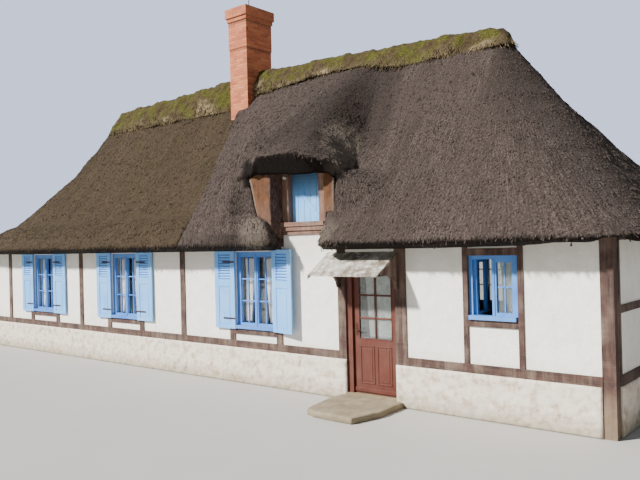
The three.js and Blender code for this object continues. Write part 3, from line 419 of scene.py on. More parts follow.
def stone_finish(name, dark, light, wash, wash_share):
    """Stone with pores and stains, under what is left of a coat of limewash."""
    r = Finish(name)
    broad = r.spots(3.4, 5, 0.6)
    pores = r.spots(45.0, 5, 0.7)
    body = r.shades(r.plus(r.times(broad, 0.6), r.times(pores, 0.4)), (0.36, dark), (0.62, light))
    washed = r.span(r.spots(6.5, 6, 0.7), 0.62 - wash_share, 0.78 - wash_share)
    body = r.coat(body, washed, 0.85, wash)
    body = r.splashed(body, 0.3, 0.55, (118, 108, 80))
    height = r.plus(broad, r.times(pores, 0.3))
    return r.surface(body, pores, (0.82, 0.96), height, 0.012)


def clay_finish():
    """Rough rust-orange clay with trowel marks, a greyer foot, a dark streaked strip of painted shade and a
    pale rim.
    """
    r = Finish("rust clay panel")
    trowel = r.stretched(r.place, (9, 9, 4), 5, 0.6)
    grit = r.spots(60.0, 4, 0.7)
    body = r.shades(trowel, (0.35, (58, 34, 15)), (0.5, (84, 50, 22)), (0.68, (100, 64, 34)))
    body = r.coat(body, r.level(*CHEEK_FOOT_Z), 0.55, (106, 84, 74))
    # Painted shade: a dark, streaked strip by the dormer post, as the darkening value says
    streaks = r.stretched(r.place, (30, 30, 7), 5, 0.7)
    darkening = r.shades(streaks, (0.38, (52, 34, 28)), (0.56, (88, 66, 55)), (0.7, (128, 106, 92)))
    body = r.mix(r.value("darkening"), body, darkening)
    body = r.mix(r.value("pale"), body, (108, 90, 75))
    height = r.plus(trowel, r.times(grit, 0.3))
    return r.surface(body, grit, (0.86, 0.98), height, 0.02)


def sheet_finish():
    """Thin pale sheet, chalky and marked by rain and lichen."""
    r = Finish("weathered pale sheet")
    marks = r.spots(9.0, 6, 0.75)
    broad = r.spots(2.2, 4, 0.6)
    body = r.mix(r.span(broad, 0.42, 0.58), (176, 170, 160), (112, 104, 92))
    body = r.mix(r.span(marks, 0.53, 0.62, 0, 0.8), body, (224, 224, 220))
    body = r.mix(r.span(marks, 0.47, 0.38, 0, 0.75), body, (92, 82, 68))
    body = r.stained(body, 3.0, 0.4, (134, 120, 98))
    return r.surface(body, marks, (0.5, 0.8), broad, 0.012)


def iron_finish():
    r = Finish("rusty black iron")
    rust = r.spots(48.0, 5, 0.7)
    body = r.shades(rust, (0.4, (44, 40, 38)), (0.66, (104, 62, 42)))
    metal = {"Metallic": r.span(rust, 0.45, 0.6, 0.9, 0.2)}
    return r.surface(body, rust, (0.5, 0.85), rust, 0.001, more=metal)


def cloth_finish():
    """Thin white cotton with a plain weave, on the cloth's own map."""
    r = Finish("white cotton curtain")
    weave = r.map("weave")
    wave = {"Vector": weave, "Scale": 60.0}
    across, along = (r.add("ShaderNodeTexWave", wave, "Fac", bands_direction=way) for way in "XY")
    threads = r.times(across, along)
    soft = r.span(r.noise(weave, 6.0, 4), 0.35, 0.7, 0, 0.6)
    body = r.mix(soft, (244, 244, 240), (214, 214, 206))
    return r.surface(body, threads, (0.8, 0.95), threads, 0.0006, usual=(0, 1))


def glass_finish():
    """Old window glass: clear, with faint waves and dust."""
    r = Finish("old window glass")
    waves = r.spots(5.0, 2)
    dust = r.spots(16.0, 5, 0.7)
    body = r.mix(r.span(dust, 0.4, 0.8), (232, 240, 240), (196, 204, 200))
    clear = {"IOR": 1.45, "Transmission Weight": 0.92}
    return r.surface(body, dust, (0.02, 0.14), waves, 0.002, usual=(0.45, 0.8), more=clear)


def floor_boards_finish():
    r = Finish("plain floor boards")
    grain = r.grain(turn=LYING["X"])
    row = r.sums("FRACT", r.times(r.axis(r.place, "Y"), BOARDS_PER_METRE))
    joint = r.span(r.sums("ABSOLUTE", r.minus(row, 0.5)), 0.47, 0.49)
    body = r.shades(grain, (0.36, (116, 88, 62)), (0.62, (166, 134, 98)))
    body = r.coat(body, joint, 0.8, (52, 40, 30))
    return r.surface(body, grain, (0.65, 0.85), grain, 0.003)


def pale_floor_finish():
    r = Finish("plain pale floor")
    body = r.mix(r.spots(0.8, 3), (168, 166, 162), (174, 172, 168))
    return r.surface(body, r.spots(3.0), (0.8, 0.9))


THATCH = reed_finish("weathered reed", (35, 29, 26), (63, 55, 51), (98, 88, 83), (54, 50, 30), 0.0)
OLD_THATCH = reed_finish("old mossy reed", (34, 27, 20), (61, 51, 39), (92, 80, 63), (54, 52, 26), 0.09)
REED_STUBS = stub_finish("cut reed stubs", (43, 36, 33), (84, 75, 70))
OLD_STUBS = stub_finish("old reed stubs", (42, 34, 26), (80, 68, 53))
STRAW_STUBS = stub_finish("dry ridge straw", (58, 48, 34), (126, 112, 84))
TURF = turf_finish()
LIMEWASH = limewash_finish()
OAK_TONES = (40, 24, 20), (80, 55, 47)
LONG_BANDS = ((0.64, 0.785), (0.9, 1.006), (1.31, 1.416), (2.5, 2.66))
END_BANDS = ((0.64, 0.785), (1.565, 1.675), (2.5, 2.66))
DORMER_BANDS = ((2.68, 2.93), (3.78, 3.88))
OAK_LONG = oak_finish("stained oak of the long walls", *OAK_TONES, "X", LONG_BANDS)
OAK_END = oak_finish("stained oak of the end walls", *OAK_TONES, "Y", END_BANDS)
OAK_DORMER = oak_finish("stained oak of the dormer", (72, 44, 34), (130, 98, 82), "X", DORMER_BANDS)
BARE_WOOD = (160, 156, 146)
BLUE_SHUTTER = paint_finish("light blue shutter paint", (104, 174, 244), (124, 186, 244), BARE_WOOD)
# The loft door's paint carries painted shade under the reed brow
BLUE_LOFT = paint_finish(
    "light blue loft door paint", (104, 176, 246), (128, 192, 246), BARE_WOOD, painted_shade=(3.26, 3.66),
)
BLUE_WINDOW = paint_finish(
    "light blue window paint", (58, 120, 204), (88, 148, 216), (150, 146, 138), 0.4, 0.42,
)
RED_PAINT = paint_finish("red-brown door paint", (82, 33, 20), (92, 42, 27), (60, 38, 28), 0.4, 0.45)
PORCELAIN = paint_finish("glazed porcelain", (206, 206, 198), (188, 188, 178), (120, 112, 100), 0.2, 0.25)
BRICK = brick_finish()
MORTAR = mortar_finish()
PLINTH = stone_finish("limewashed rubble", (160, 142, 122), (204, 188, 168), (228, 219, 204), 0.25)
STEP = stone_finish("worn step stone", (112, 100, 84), (160, 146, 126), (170, 160, 142), 0.0)
EARTH_FLOOR = stone_finish("beaten clay floor", (120, 100, 78), (170, 150, 120), (176, 160, 132), 0.0)
CLAY = clay_finish()
SHEET = sheet_finish()
IRON = iron_finish()
COTTON = cloth_finish()
GLASS = glass_finish()
LOFT_BOARDS = floor_boards_finish()

DRESS = (
    (LIMEWASH, "front_wall_right front_wall_left wall_over_door back_wall right_end_wall left_end_wall"),
    (OAK_LONG, "front_frame_right front_frame_left back_frame"),
    (OAK_END, "right_end_frame left_end_frame"),
    (OAK_DORMER, "dormer_frame"),
    (BLUE_WINDOW, "right_window middle_window left_window far_left_window"),
    (BLUE_WINDOW, "back_right_window back_left_window"),
    (RED_PAINT, "door_frame front_door"),
    (PLINTH, "front_plinth_right front_plinth_left back_plinth right_end_plinth left_end_plinth"),
    (EARTH_FLOOR, "ground_floor"),
    (LOFT_BOARDS, "loft_floor"),
    (SHEET, "door_canopy"),
    (IRON, "door_handle"),
    (GLASS, "door_glass right_window_glass front_windows_glass back_windows_glass"),
    (MORTAR, "chimney"),
)
for material, names in DRESS:
    for name in names.split():
        slots = NODES[name].data.materials
        if len(slots) == 0:
            slots.append(material)
        for index in range(len(slots)):
            slots[index] = material


# Meshes

def settle(obj):
    """Turns an object and its modifiers into one plain mesh."""
    graph = bpy.context.evaluated_depsgraph_get()
    mesh = bpy.data.meshes.new_from_object(
        obj.evaluated_get(graph), preserve_all_data_layers=True, depsgraph=graph,
    )
    obj.modifiers.clear()
    obj.data = mesh
    return obj


def place_piece(obj, material, replaced=(), smooth=False, body="cottage"):
    mesh = obj.data
    mesh.materials.clear()
    mesh.materials.append(material)
    mesh.polygons.foreach_set("material_index", [0] * len(mesh.polygons))
    mesh.polygons.foreach_set("use_smooth", [smooth] * len(mesh.polygons))
    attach(obj, body)
    if replaced:
        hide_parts(*replaced)


def as_mesh(bm, name):
    mesh = bpy.data.meshes.new(name)
    bm.to_mesh(mesh)
    bm.free()
    return mesh


def closed(bm, name, move=Matrix()):
    """A bmesh as a mesh, moved, with its faces turned outwards."""
    bmesh.ops.transform(bm, matrix=move, verts=bm.verts)
    bmesh.ops.recalc_face_normals(bm, faces=bm.faces)
    return as_mesh(bm, name)


def joined(name, meshes, move=Matrix()):
    bm = bmesh.new()
    for mesh in meshes:
        bm.from_mesh(mesh)
    return closed(bm, name, move)


def solid_of(names, side=0):
    """Copies of the frame's nodes in one bmesh. A side of 1 or -1 keeps that side of the rear thatch."""
    whole = bmesh.new()
    for name in names:
        part = bmesh.new()
        part.from_mesh(NODES[name].data)
        bmesh.ops.remove_doubles(part, verts=part.verts, dist=0.0001)
        if side and name == "thatch_back":
            bmesh.ops.bisect_plane(
                part, geom=part.verts[:] + part.edges[:] + part.faces[:],
                plane_co=(REAR_SPLIT_X, 0, 0), plane_no=(side, 0, 0), clear_inner=True,
            )
            rim = [edge for edge in part.edges if edge.is_boundary]
            bmesh.ops.triangle_fill(part, edges=rim, use_beauty=True)
        mesh = as_mesh(part, "part")
        whole.from_mesh(mesh)
        bpy.data.meshes.remove(mesh)
    return whole


def remeshed(name, whole, voxel, rounds):
    """A solid with small, even faces and rounded edges."""
    obj = add_object(name, as_mesh(whole, name))
    remesh = obj.modifiers.new("even faces", "REMESH")
    remesh.mode = "VOXEL"
    remesh.voxel_size = voxel
    smooth = obj.modifiers.new("rounded", "SMOOTH")
    smooth.factor = 0.5
    smooth.iterations = rounds
    return settle(obj)


def points_and_normals(mesh):
    count = len(mesh.vertices)
    points = np.zeros(count * 3)
    normals = np.zeros(count * 3)
    mesh.vertices.foreach_get("co", points)
    mesh.vertex_normals.foreach_get("vector", normals)
    return points.reshape(-1, 3), normals.reshape(-1, 3)


def move_points(mesh, points):
    mesh.vertices.foreach_set("co", points.ravel())
    mesh.update()


def rough(points, size, octaves=3):
    """Fractal noise between about -1 and 1 at each point."""
    return np.array([noise.fractal(Vector(p) / size, 1.0, 2.0, octaves) for p in points])


def swell(mesh, broad, fine, share):
    """Moves points along their normals by broad and fine noise, each given as a height and a size.

    share(points, normals) says how much of it each point takes."""
    points, normals = points_and_normals(mesh)
    height = broad[0] * rough(points, broad[1]) + fine[0] * rough(points, fine[1], 2)
    move_points(mesh, points + normals * (height * share(points, normals))[:, None])


def add_values(mesh, name, values):
    """Keeps a number or a vector for each point of a mesh."""
    values = np.asarray(values, dtype=np.float32)
    kind, field = ("FLOAT", "value") if values.ndim == 1 else ("FLOAT_VECTOR", "vector")
    layer = mesh.attributes.new(name, kind, "POINT")
    layer.data.foreach_set(field, values.ravel())


def shape_mesh(name, points, faces=()):
    mesh = bpy.data.meshes.new(name)
    mesh.from_pydata(points, [], faces)
    mesh.update()
    return mesh


def grid_faces(across, up):
    """The faces of a grid of points, row by row."""
    row = across + 1
    return [
        (first, first + 1, first + row + 1, first + row)
        for j in range(up) for first in range(j * row, j * row + across)
    ]


# Geometry node trees

def lay_out(r, given, pattern, points, turn, size):
    """Ends a tree with a pattern's copies on points, each with a random tone from 0 to 1."""
    shape = r.add("GeometryNodeObjectInfo", {"Object": pattern}, "Geometry")
    copies = r.add("GeometryNodeInstanceOnPoints", {
        "Points": points, "Instance": shape, "Rotation": turn, "Scale": size,
    })
    tone = r.random(0.0, 1.0, r.plus(given["Seed"], 3))
    copies = r.add(
        "GeometryNodeStoreNamedAttribute", {"Geometry": copies, "Name": "tone", "Value": tone},
        "Geometry", data_type="FLOAT", domain="INSTANCE",
    )
    whole = r.add("GeometryNodeRealizeInstances", {"Geometry": copies})
    return r.close(r.add("GeometryNodeSetMaterial", {"Geometry": whole, "Material": given["Material"]}))


def stub_tree():
    """Short stubs scattered over a slope, pointing down it, as dense as the mesh's cover value says."""
    r, given = open_group("Geometry", "reed stubs", {
        "Mesh": "Geometry", "Stub": "Object", "Density": "Float", "Shortest": "Vector",
        "Longest": "Vector", "Lift": "Float", "Sway": "Float", "Seed": "Int", "Material": "Material",
    }, ("Mesh", "Geometry"))
    seed, sway = given["Seed"], given["Sway"]
    density = r.times(given["Density"], r.named("cover"))
    scatter = r.add("GeometryNodeDistributePointsOnFaces", {
        "Mesh": given["Mesh"], "Density": density, "Seed": seed,
    }).node
    facing = r.add(
        "FunctionNodeAxesToRotation",
        {"Primary Axis": scatter.outputs["Normal"], "Secondary Axis": r.named("down", "FLOAT_VECTOR")},
        primary_axis="Z", secondary_axis="X",
    )
    lowest = r.vector(0.0, 0.0, r.times(sway, -1.0))
    highest = r.vector(0.0, given["Lift"], sway)
    lean = r.random(lowest, highest, r.plus(seed, 5), "FLOAT_VECTOR")
    lean = r.add("FunctionNodeEulerToRotation", {0: lean})
    facing = r.add("FunctionNodeRotateRotation", {0: facing, 1: lean}, rotation_space="LOCAL")
    size = r.random(given["Shortest"], given["Longest"], r.plus(seed, 9), "FLOAT_VECTOR")
    return lay_out(r, given, given["Stub"], scatter.outputs["Points"], facing, size)


def block_tree():
    """A block on each point of the mesh, with the point's own size and turn."""
    r, given = open_group("Geometry", "laid blocks", {
        "Mesh": "Geometry", "Block": "Object", "Unevenness": "Float", "Seed": "Int", "Material": "Material",
    }, ("Mesh", "Geometry"))
    uneven = given["Unevenness"]
    less = r.minus(1.0, uneven)
    high = r.vector(1.0, r.plus(1.0, uneven), 1.0)
    vary = r.random(r.vector(less, less, less), high, given["Seed"], "FLOAT_VECTOR")
    own_size = r.named("size", "FLOAT_VECTOR")
    size = r.add("ShaderNodeVectorMath", {0: own_size, 1: vary}, operation="MULTIPLY")
    turn = r.add("FunctionNodeEulerToRotation", {0: r.named("turn", "FLOAT_VECTOR")})
    points = r.add("GeometryNodeMeshToPoints", {"Mesh": given["Mesh"]})
    return lay_out(r, given, given["Block"], points, turn, size)


def grow(obj, tree, **inputs):
    """Runs a geometry tree on an object and keeps the result as its plain mesh."""
    modifier = obj.modifiers.new(tree.name, "NODES")
    modifier.node_group = tree
    for item in tree.interface.items_tree:
        if item.in_out == "INPUT" and item.name in inputs:
            modifier[item.identifier] = inputs[item.name]
    obj.update_tag()
    return settle(obj)


def stub_mesh(length, width, height):
    """A flat reed bundle: pointed where it leaves the slope and cut off square at its lower end."""
    half, foot = width / 2, -height * 0.6
    points = [
        (0, 0, foot), (length, -half, foot), (length, half, foot),
        (length * 0.96, -half * 0.8, height), (length * 0.96, half * 0.8, height),
    ]
    faces = [(0, 2, 1), (0, 1, 3), (0, 3, 4), (0, 4, 2), (1, 2, 4, 3)]
    return shape_mesh("stub", points, faces)


def chamfered(bm, offset):
    bmesh.ops.bevel(bm, geom=bm.edges[:], offset=offset, segments=1, affect="EDGES", profile=0.5)


def unit_block(chamfer):
    bm = bmesh.new()
    bmesh.ops.create_cube(bm, size=1.0)
    chamfered(bm, chamfer)
    return as_mesh(bm, "block")


STUB_TREE = stub_tree()
BLOCK_TREE = block_tree()
# The shapes that the trees repeat, which are removed once every tree has run
REED_STUB = add_object("reed_stub", stub_mesh(0.075, 0.024, 0.0045))
STRAW_STUB = add_object("straw_stub", stub_mesh(0.10, 0.011, 0.005))
BLOCK = add_object("block", unit_block(0.03))


def grow_stubs(stubs, slot, material, **inputs):
    grow(stubs, STUB_TREE, Material=material, **inputs)
    place_piece(stubs, material)


def lay_blocks(name, places, sizes, turns, unevenness, seed, material):
    """An object of blocks, each with its place, size and turn."""
    mesh = shape_mesh(name, places)
    add_values(mesh, "size", sizes)
    add_values(mesh, "turn", turns)
    return grow(
        add_object(name, mesh), BLOCK_TREE, Block=BLOCK, Unevenness=unevenness, Seed=seed, Material=material,
    )


# Thatch

REAR_SPLIT_X = -0.42
THATCH_VOXEL = 0.05
THATCH_SWELL = (0.028, 1.1), (0.011, 0.24)
MEAN_HIP_RADIUS = 1.9
EAVE_TOP_Z = 2.75
EAVE_LIP_Y = 2.6
EAVE_LIP_X = 8.4
HOOD_FOOT_Z = 3.9
# Middle of the painted light on the hood's shaded right flank
PAINTED_LIGHT_MIDDLE = (3.80, -1.62, 4.10)
FRAYED_FEET = (((2.52, -2.60, 2.78), 0.46, 0.48), ((3.95, -2.50, 2.74), 0.38, 0.42))
SHOULDER, SHOULDER_REACH = (-3.95, 0.25, 3.4), (0.75, 0.8, 0.8)
SHOULDER_ROUNDS = 40
CHEEK_BACK_Y, CHEEK_EDGE_Y = -0.28, -0.20
CHEEK_RIGHT_X = -5.5
# Both sides, front and foot of the reed's brow over the loft door, darkened as cut ends with painted shade
BROW_LEFT, BROW_RIGHT, BROW_Y, BROW_Z = (2.08, 2.16), (3.97, 4.05), -1.9, 3.55
BARE_RIDGE = 0.12


def from_ridge(x, y):
    return np.hypot(x - np.clip(x, *RIDGE_ENDS), y - RIDGE_Y)


def slope_map(points):
    """For each point: how far along the eave it lies and how far down the slope from the ridge."""
    x, y, z = points.T
    ridge_x = np.clip(x, *RIDGE_ENDS)
    angle = np.arctan2(x - ridge_x, RIDGE_Y - y)
    return ridge_x + angle * MEAN_HIP_RADIUS, np.hypot(from_ridge(x, y), RIDGE_FOOT_Z - z)


def write_map(mesh, along, down):
    layer = mesh.uv_layers.new(name="reed")
    corners = np.zeros(len(mesh.loops), dtype=np.int32)
    mesh.loops.foreach_get("vertex_index", corners)
    layer.data.foreach_set("uv", np.stack([along[corners], down[corners]], axis=1).ravel())


def add_fall(mesh, normals):
    """Keeps the steepest way down the surface at each point."""
    fall = np.array([0.0, 0.0, -1.0]) - normals * -normals[:, 2:3]
    fall /= np.maximum(np.linalg.norm(fall, axis=1), 0.0001)[:, None]
    add_values(mesh, "down", fall)


def soft_step(value, low, high):
    share = np.clip((value - low) / (high - low), 0, 1)
    return share * share * (3 - 2 * share)


def soft_band(value, rise, fall):
    """1 between two soft edges and 0 outside them. Each edge is given by where it starts and ends."""
    return soft_step(value, *rise) * (1 - soft_step(value, *fall))


def far(points, middle, reach=1.0):
    """How far points lie from a middle, as a share of the reach."""
    return np.linalg.norm((points - np.array(middle)) / np.array(reach), axis=1)


def hood_damp(points):
    """1 over the shaded, slow-drying thatch of the hood and the valley beside it, 0 elsewhere."""
    x, y, z = points.T
    rise = np.clip((z - HOOD_FOOT_Z) / 2.2, 0, 1)
    left, right = 2.25 + 0.3 * rise, 4.3 - 0.45 * rise
    inside = soft_band(x, (left - 0.35, left + 0.5), (right - 0.15, right + 0.15))
    return inside * (y < RIDGE_Y) * soft_step(z, HOOD_FOOT_Z, HOOD_FOOT_Z + 0.6)


def painted_flank_light(points, normals):
    """1 over the hood's right flank where it faces away from the sun, lightened there as painted light in its
    shade, 0 elsewhere.
    """
    away = far(points, PAINTED_LIGHT_MIDDLE, (1.0, 1.0, 1.25))
    return (1 - soft_step(away, 0.3, 0.95)) * soft_step(normals[:, 0], 0.55, 0.8)


def frayed_feet(points):
    """The bleached, frayed ends of the thatch at both sides of the dormer, from 0 to 1."""
    share = np.zeros(len(points))
    for middle, reach, strength in FRAYED_FEET:
        ragged = far(points, middle) / reach + 0.3 * rough(points, 0.12, 2)
        share = np.maximum(share, strength * (1 - soft_step(ragged, 0.35, 1.0)))
    return share


def eased(mesh, points, weight, rounds):
    """Points drawn towards the middle of their neighbours, as far as their weight lets them."""
    edges = np.zeros(len(mesh.edges) * 2, dtype=np.int64)
    mesh.edges.foreach_get("vertices", edges)
    edges = edges.reshape(-1, 2)
    edges = edges[(weight[edges[:, 0]] > 0) | (weight[edges[:, 1]] > 0)]
    count = np.maximum(np.bincount(edges.ravel(), minlength=len(points)), 1)[:, None]
    for _ in range(rounds):
        total = np.zeros_like(points)
        np.add.at(total, edges[:, 0], points[edges[:, 1]])
        np.add.at(total, edges[:, 1], points[edges[:, 0]])
        points = points + weight[:, None] * 0.6 * (total / count - points)
    return points


def smooth_shoulder(mesh):
    """Rounds the reed's shoulder right of the loft door into the hood's flank."""
    points, normals = points_and_normals(mesh)
    local = points - np.array(CORNER)
    weight = 1 - soft_step(far(local, SHOULDER, SHOULDER_REACH), 0.5, 1.0)
    weight = weight * soft_step(local[:, 0], -4.30, -4.15) * (normals[:, 2] > -0.4)
    move_points(mesh, eased(mesh, points, weight, SHOULDER_ROUNDS))


def left_cheek_edge(z):
    """Where the reed ends on the left cheek's face at a height."""
    return np.interp(z, (2.90, 3.40, 3.70), (-5.96, -6.07, -6.15))


def clear_left_cheek(mesh):
    """Sets the reed back from the left cheek's face, up to the line where it laps over the edge."""
    points, _ = points_and_normals(mesh)
    x, y, z = (points - np.array(CORNER)).T
    level = soft_band(z, (2.84, 2.97), (3.55, 3.66))
    beside = soft_step(x, -6.6, -6.25) * (x < CHEEK_RIGHT_X) * (y < CHEEK_BACK_Y)
    points[:, 1] += beside * level * (CHEEK_BACK_Y - y)
    y = points[:, 1] - CORNER[1]
    share = soft_step(x - left_cheek_edge(z), -0.01, 0.04) * (x < CHEEK_RIGHT_X) * level
    points[:, 1] += share * (y < CHEEK_EDGE_Y) * (CHEEK_EDGE_Y - y)
    move_points(mesh, points)


def thatch_piece(name, nodes, side, material, stub_material, seed):
    """The thatch right of the rear split, or left of it where side is -1, and its coat of stubs."""
    obj = remeshed(name, solid_of([*nodes, "thatch_back"], side), THATCH_VOXEL, 4)
    mesh = obj.data
    if side > 0:
        smooth_shoulder(mesh)
        clear_left_cheek(mesh)
        nodes = [*nodes, "thatch_back"]
    swell(mesh, *THATCH_SWELL, lambda points, normals: np.clip(normals[:, 2] * 3 + 0.6, 0, 1))
    points, normals = points_and_normals(mesh)
    write_map(mesh, *slope_map(points))
    add_fall(mesh, normals)
    x, y, z = points.T
    up = normals[:, 2]
    at_eave = z < EAVE_TOP_Z
    outward = np.abs(y - RIDGE_Y) * np.sign(normals[:, 1] * (y - RIDGE_Y))
    lip = (np.abs(up) < 0.5) & at_eave & ((outward > EAVE_LIP_Y) | (np.abs(x) > EAVE_LIP_X))
    brow = soft_band(x, BROW_LEFT, BROW_RIGHT)
    brow *= (y < BROW_Y) * (z > BROW_Z) * (1 - soft_step(up, 0.3, 0.45))
    cover = np.where(up > np.where(at_eave, 0.25, -0.05), 1.0, 0.0)
    cover = np.where(lip, 0.7, cover)
    cover = np.where((brow > 0.5) | (from_ridge(x, y) < BARE_RIDGE), 0.0, cover)
    # Dark cut ends at the eaves, and painted shade on faces that look down and on the brow
    ends_and_shade = np.where(at_eave, 0.75 - up * 2.2, -3 * up)
    # Pale frayed reed at the dormer's feet, and painted light on the hood's shaded flank
    pale_ends_and_light = np.maximum(painted_flank_light(points, normals), frayed_feet(points))
    add_values(mesh, "ends_and_shade", np.maximum(np.clip(ends_and_shade, 0, 1) * 0.9, brow))
    add_values(mesh, "pale_ends_and_light", pale_ends_and_light)
    add_values(mesh, "damp", hood_damp(points) * (1 - pale_ends_and_light))
    add_values(mesh, "cover", cover)
    stubs = add_object(f"{name}_stubs", mesh.copy())
    place_piece(obj, material, nodes, smooth=True)
    grow_stubs(
        stubs, name, stub_material, Stub=REED_STUB, Density=280.0, Shortest=(0.6, 0.6, 0.6),
        Longest=(1.4, 1.3, 1.4), Lift=-0.04, Sway=0.3, Seed=seed,
    )


new_nodes = ["thatch_front_right", "thatch_front_middle", "thatch_dormer_hood", "thatch_right_hip"]
thatch_piece("thatch", new_nodes, 1, THATCH, REED_STUBS, 11)
thatch_piece("old_thatch", ["thatch_front_left", "thatch_left_hip"], -1, OLD_THATCH, OLD_STUBS, 12)


# Ridge turf

RIDGE_VOXEL = 0.036
RIDGE_SWELL = (0.05, 0.5), (0.024, 0.12)
SKIRT_START, SKIRT_DEPTH = 0.17, 0.08


def ridge_piece():
    nodes = ["ridge_cap_right", "ridge_cap_left"]
    obj = remeshed("ridge_turf", solid_of(nodes), RIDGE_VOXEL, 3)
    mesh = obj.data
    swell(mesh, *RIDGE_SWELL, lambda points, normals: np.clip(normals[:, 2] * 2 + 0.8, 0, 1))
    points, normals = points_and_normals(mesh)
    add_fall(mesh, normals)
    low = (from_ridge(*points.T[:2]) - SKIRT_START) / SKIRT_DEPTH
    skirt = np.clip(low + 0.5 * rough(points, 0.3, 2), 0, 1)
    add_values(mesh, "skirt", skirt)
    add_values(mesh, "cover", np.where(normals[:, 2] > -0.2, skirt, 0.0))
    straw = add_object("ridge_straw", mesh.copy())
    place_piece(obj, TURF, nodes, smooth=True)
    grow_stubs(
        straw, "ridge_turf", STRAW_STUBS, Stub=STRAW_STUB, Density=900.0, Shortest=(0.5, 0.6, 0.6),
        Longest=(1.4, 1.4, 1.5), Lift=-0.25, Sway=0.45, Seed=21,
    )


ridge_piece()


# Chimney bricks

BRICK_PROUD = 0.004
BRICK_DEPTH = 0.05
JOINT = 0.01
STRETCHER, HEADER = 0.215, 0.105
STACK_LOW, STACK_HIGH = at(-9.040, 2.105, 0), at(-8.490, 2.895, 0)
# Bottom, top, how far it stands proud and courses
STACK_ZONES = ((5.22, 6.90, 0.0, 27), (6.90, 7.52, 0.012, 10), (7.52, 7.61, 0.035, 1), (7.61, 7.82, 0.065, 3))


def chimney_bricks():
    """Bricks course by course round the stack, on its four faces."""
    low, high = STACK_LOW, STACK_HIGH
    places, sizes, turns = [], [], []
    for bottom, top, proud, courses in STACK_ZONES:
        rise = (top - bottom) / courses
        reach = proud + BRICK_PROUD
        outer = reach - BRICK_DEPTH / 2
        for course in range(courses):
            z = CORNER.z + bottom + rise * (course + 0.5)
            for face in range(4):
                axis = face % 2
                start, end = low[axis] - reach, high[axis] + reach
                stretchers = 2 + axis
                row = [STRETCHER] * stretchers + [HEADER]
                if (course + face) % 2:
                    row.reverse()
                fit = (end - start - JOINT * stretchers) / sum(row)
                along = start
                for length in row:
                    middle = along + length * fit / 2
                    along += length * fit + JOINT
                    places.append((
                        (middle, low.y - outer, z), (high.x + outer, middle, z),
                        (middle, high.y + outer, z), (low.x - outer, middle, z),
                    )[face])
                    sizes.append((length * fit, BRICK_DEPTH, rise - JOINT))
                    turns.append((0, 0, axis * math.pi / 2))
    return lay_blocks("chimney_bricks", places, sizes, turns, 0.035, 31, BRICK)


place_piece(chimney_bricks(), BRICK)


# Carpentry: boards and bars as chamfered boxes

def boards_mesh(name, boxes, chamfer=0.003, move=Matrix()):
    bm = bmesh.new()
    for box in boxes:
        size = Vector([high - low for low, high in box])
        middle = Vector([(low + high) / 2 for low, high in box])
        for vertex in bmesh.ops.create_cube(bm, size=1.0)["verts"]:
            vertex.co = middle + Vector(a * b for a, b in zip(vertex.co, size))
    chamfered(bm, chamfer)
    return closed(bm, name, move)


def drawn(x, y, z):
    """Box sides from the drawing, in the row frame."""
    low, high = at(x[0], y[0], z[0]), at(x[1], y[1], z[1])
    return (low.x, high.x), (low.y, high.y), (low.z, high.z)


def wooden(name, boxes, material, chamfer=0.003, body="cottage"):
    obj = add_object(name, boards_mesh(name, [drawn(*box) for box in boxes], chamfer))
    place_piece(obj, material, body=body)


# Louvred shutters

SHUTTER_WIDTH, SHUTTER_THICK = 0.54, 0.03
SHUTTER_ZONE = (0.872, 2.33)
SHUTTER_STILE = 0.11
LOUVRE_ZONE = (1.793, 2.266)
PANEL_ZONE = (0.936, 1.652)
PANEL_MARGIN = 0.03
SLATS = 9
SLAT_DEPTH, SLAT_THICK, SLAT_TILT = 0.034, 0.009, math.radians(42)
HINGE_Y = -0.015
AJAR = math.radians(10)
LEFT_WINDOWS = {"middle": (-6.800, -5.800), "left": (-10.800, -9.810), "far_left": (-14.200, -13.200)}
INSET = 0.015


def shutter_mesh(side, hinge_x, turn):
    """A shutter drawn from its hinge to the right, then mirrored for the left ones and put in place."""
    bottom, top = SHUTTER_ZONE
    thick = (-SHUTTER_THICK, 0)
    inner = (SHUTTER_STILE, SHUTTER_WIDTH - SHUTTER_STILE)
    field = (PANEL_ZONE[0] + PANEL_MARGIN, PANEL_ZONE[1] - PANEL_MARGIN)
    boards = boards_mesh("boards", [
        ((0, inner[0]), thick, SHUTTER_ZONE),
        ((inner[1], SHUTTER_WIDTH), thick, SHUTTER_ZONE),
        (inner, thick, (LOUVRE_ZONE[1], top)),
        (inner, thick, (PANEL_ZONE[1], LOUVRE_ZONE[0])),
        (inner, thick, (bottom, PANEL_ZONE[0])),
        (inner, (-SHUTTER_THICK + 0.010, -0.008), PANEL_ZONE),
        ((inner[0] + PANEL_MARGIN, inner[1] - PANEL_MARGIN), (-SHUTTER_THICK + 0.005, -0.010), field),
        (inner, (-0.006, -0.002), LOUVRE_ZONE),
    ], 0.0025)
    pitch = (LOUVRE_ZONE[1] - LOUVRE_ZONE[0]) / SLATS
    depth = -SHUTTER_THICK / 2 - 0.002
    places = [(SHUTTER_WIDTH / 2, depth, LOUVRE_ZONE[0] + pitch * (i + 0.5)) for i in range(SLATS)]
    sizes = [(inner[1] - inner[0] + 0.004, SLAT_DEPTH, SLAT_THICK)] * SLATS
    slats = lay_blocks("slats", places, sizes, [(SLAT_TILT, 0, 0)] * SLATS, 0.01, 41, BLUE_SHUTTER)
    place = Matrix.Translation(at(hinge_x, HINGE_Y, 0)) @ Matrix.Rotation(-turn, 4, "Z")
    if side == "left":
        place = place @ Matrix.Scale(-1, 4, (1, 0, 0))
    mesh = joined("shutter", [boards, slats.data], place)
    bpy.data.objects.remove(slats)
    return mesh


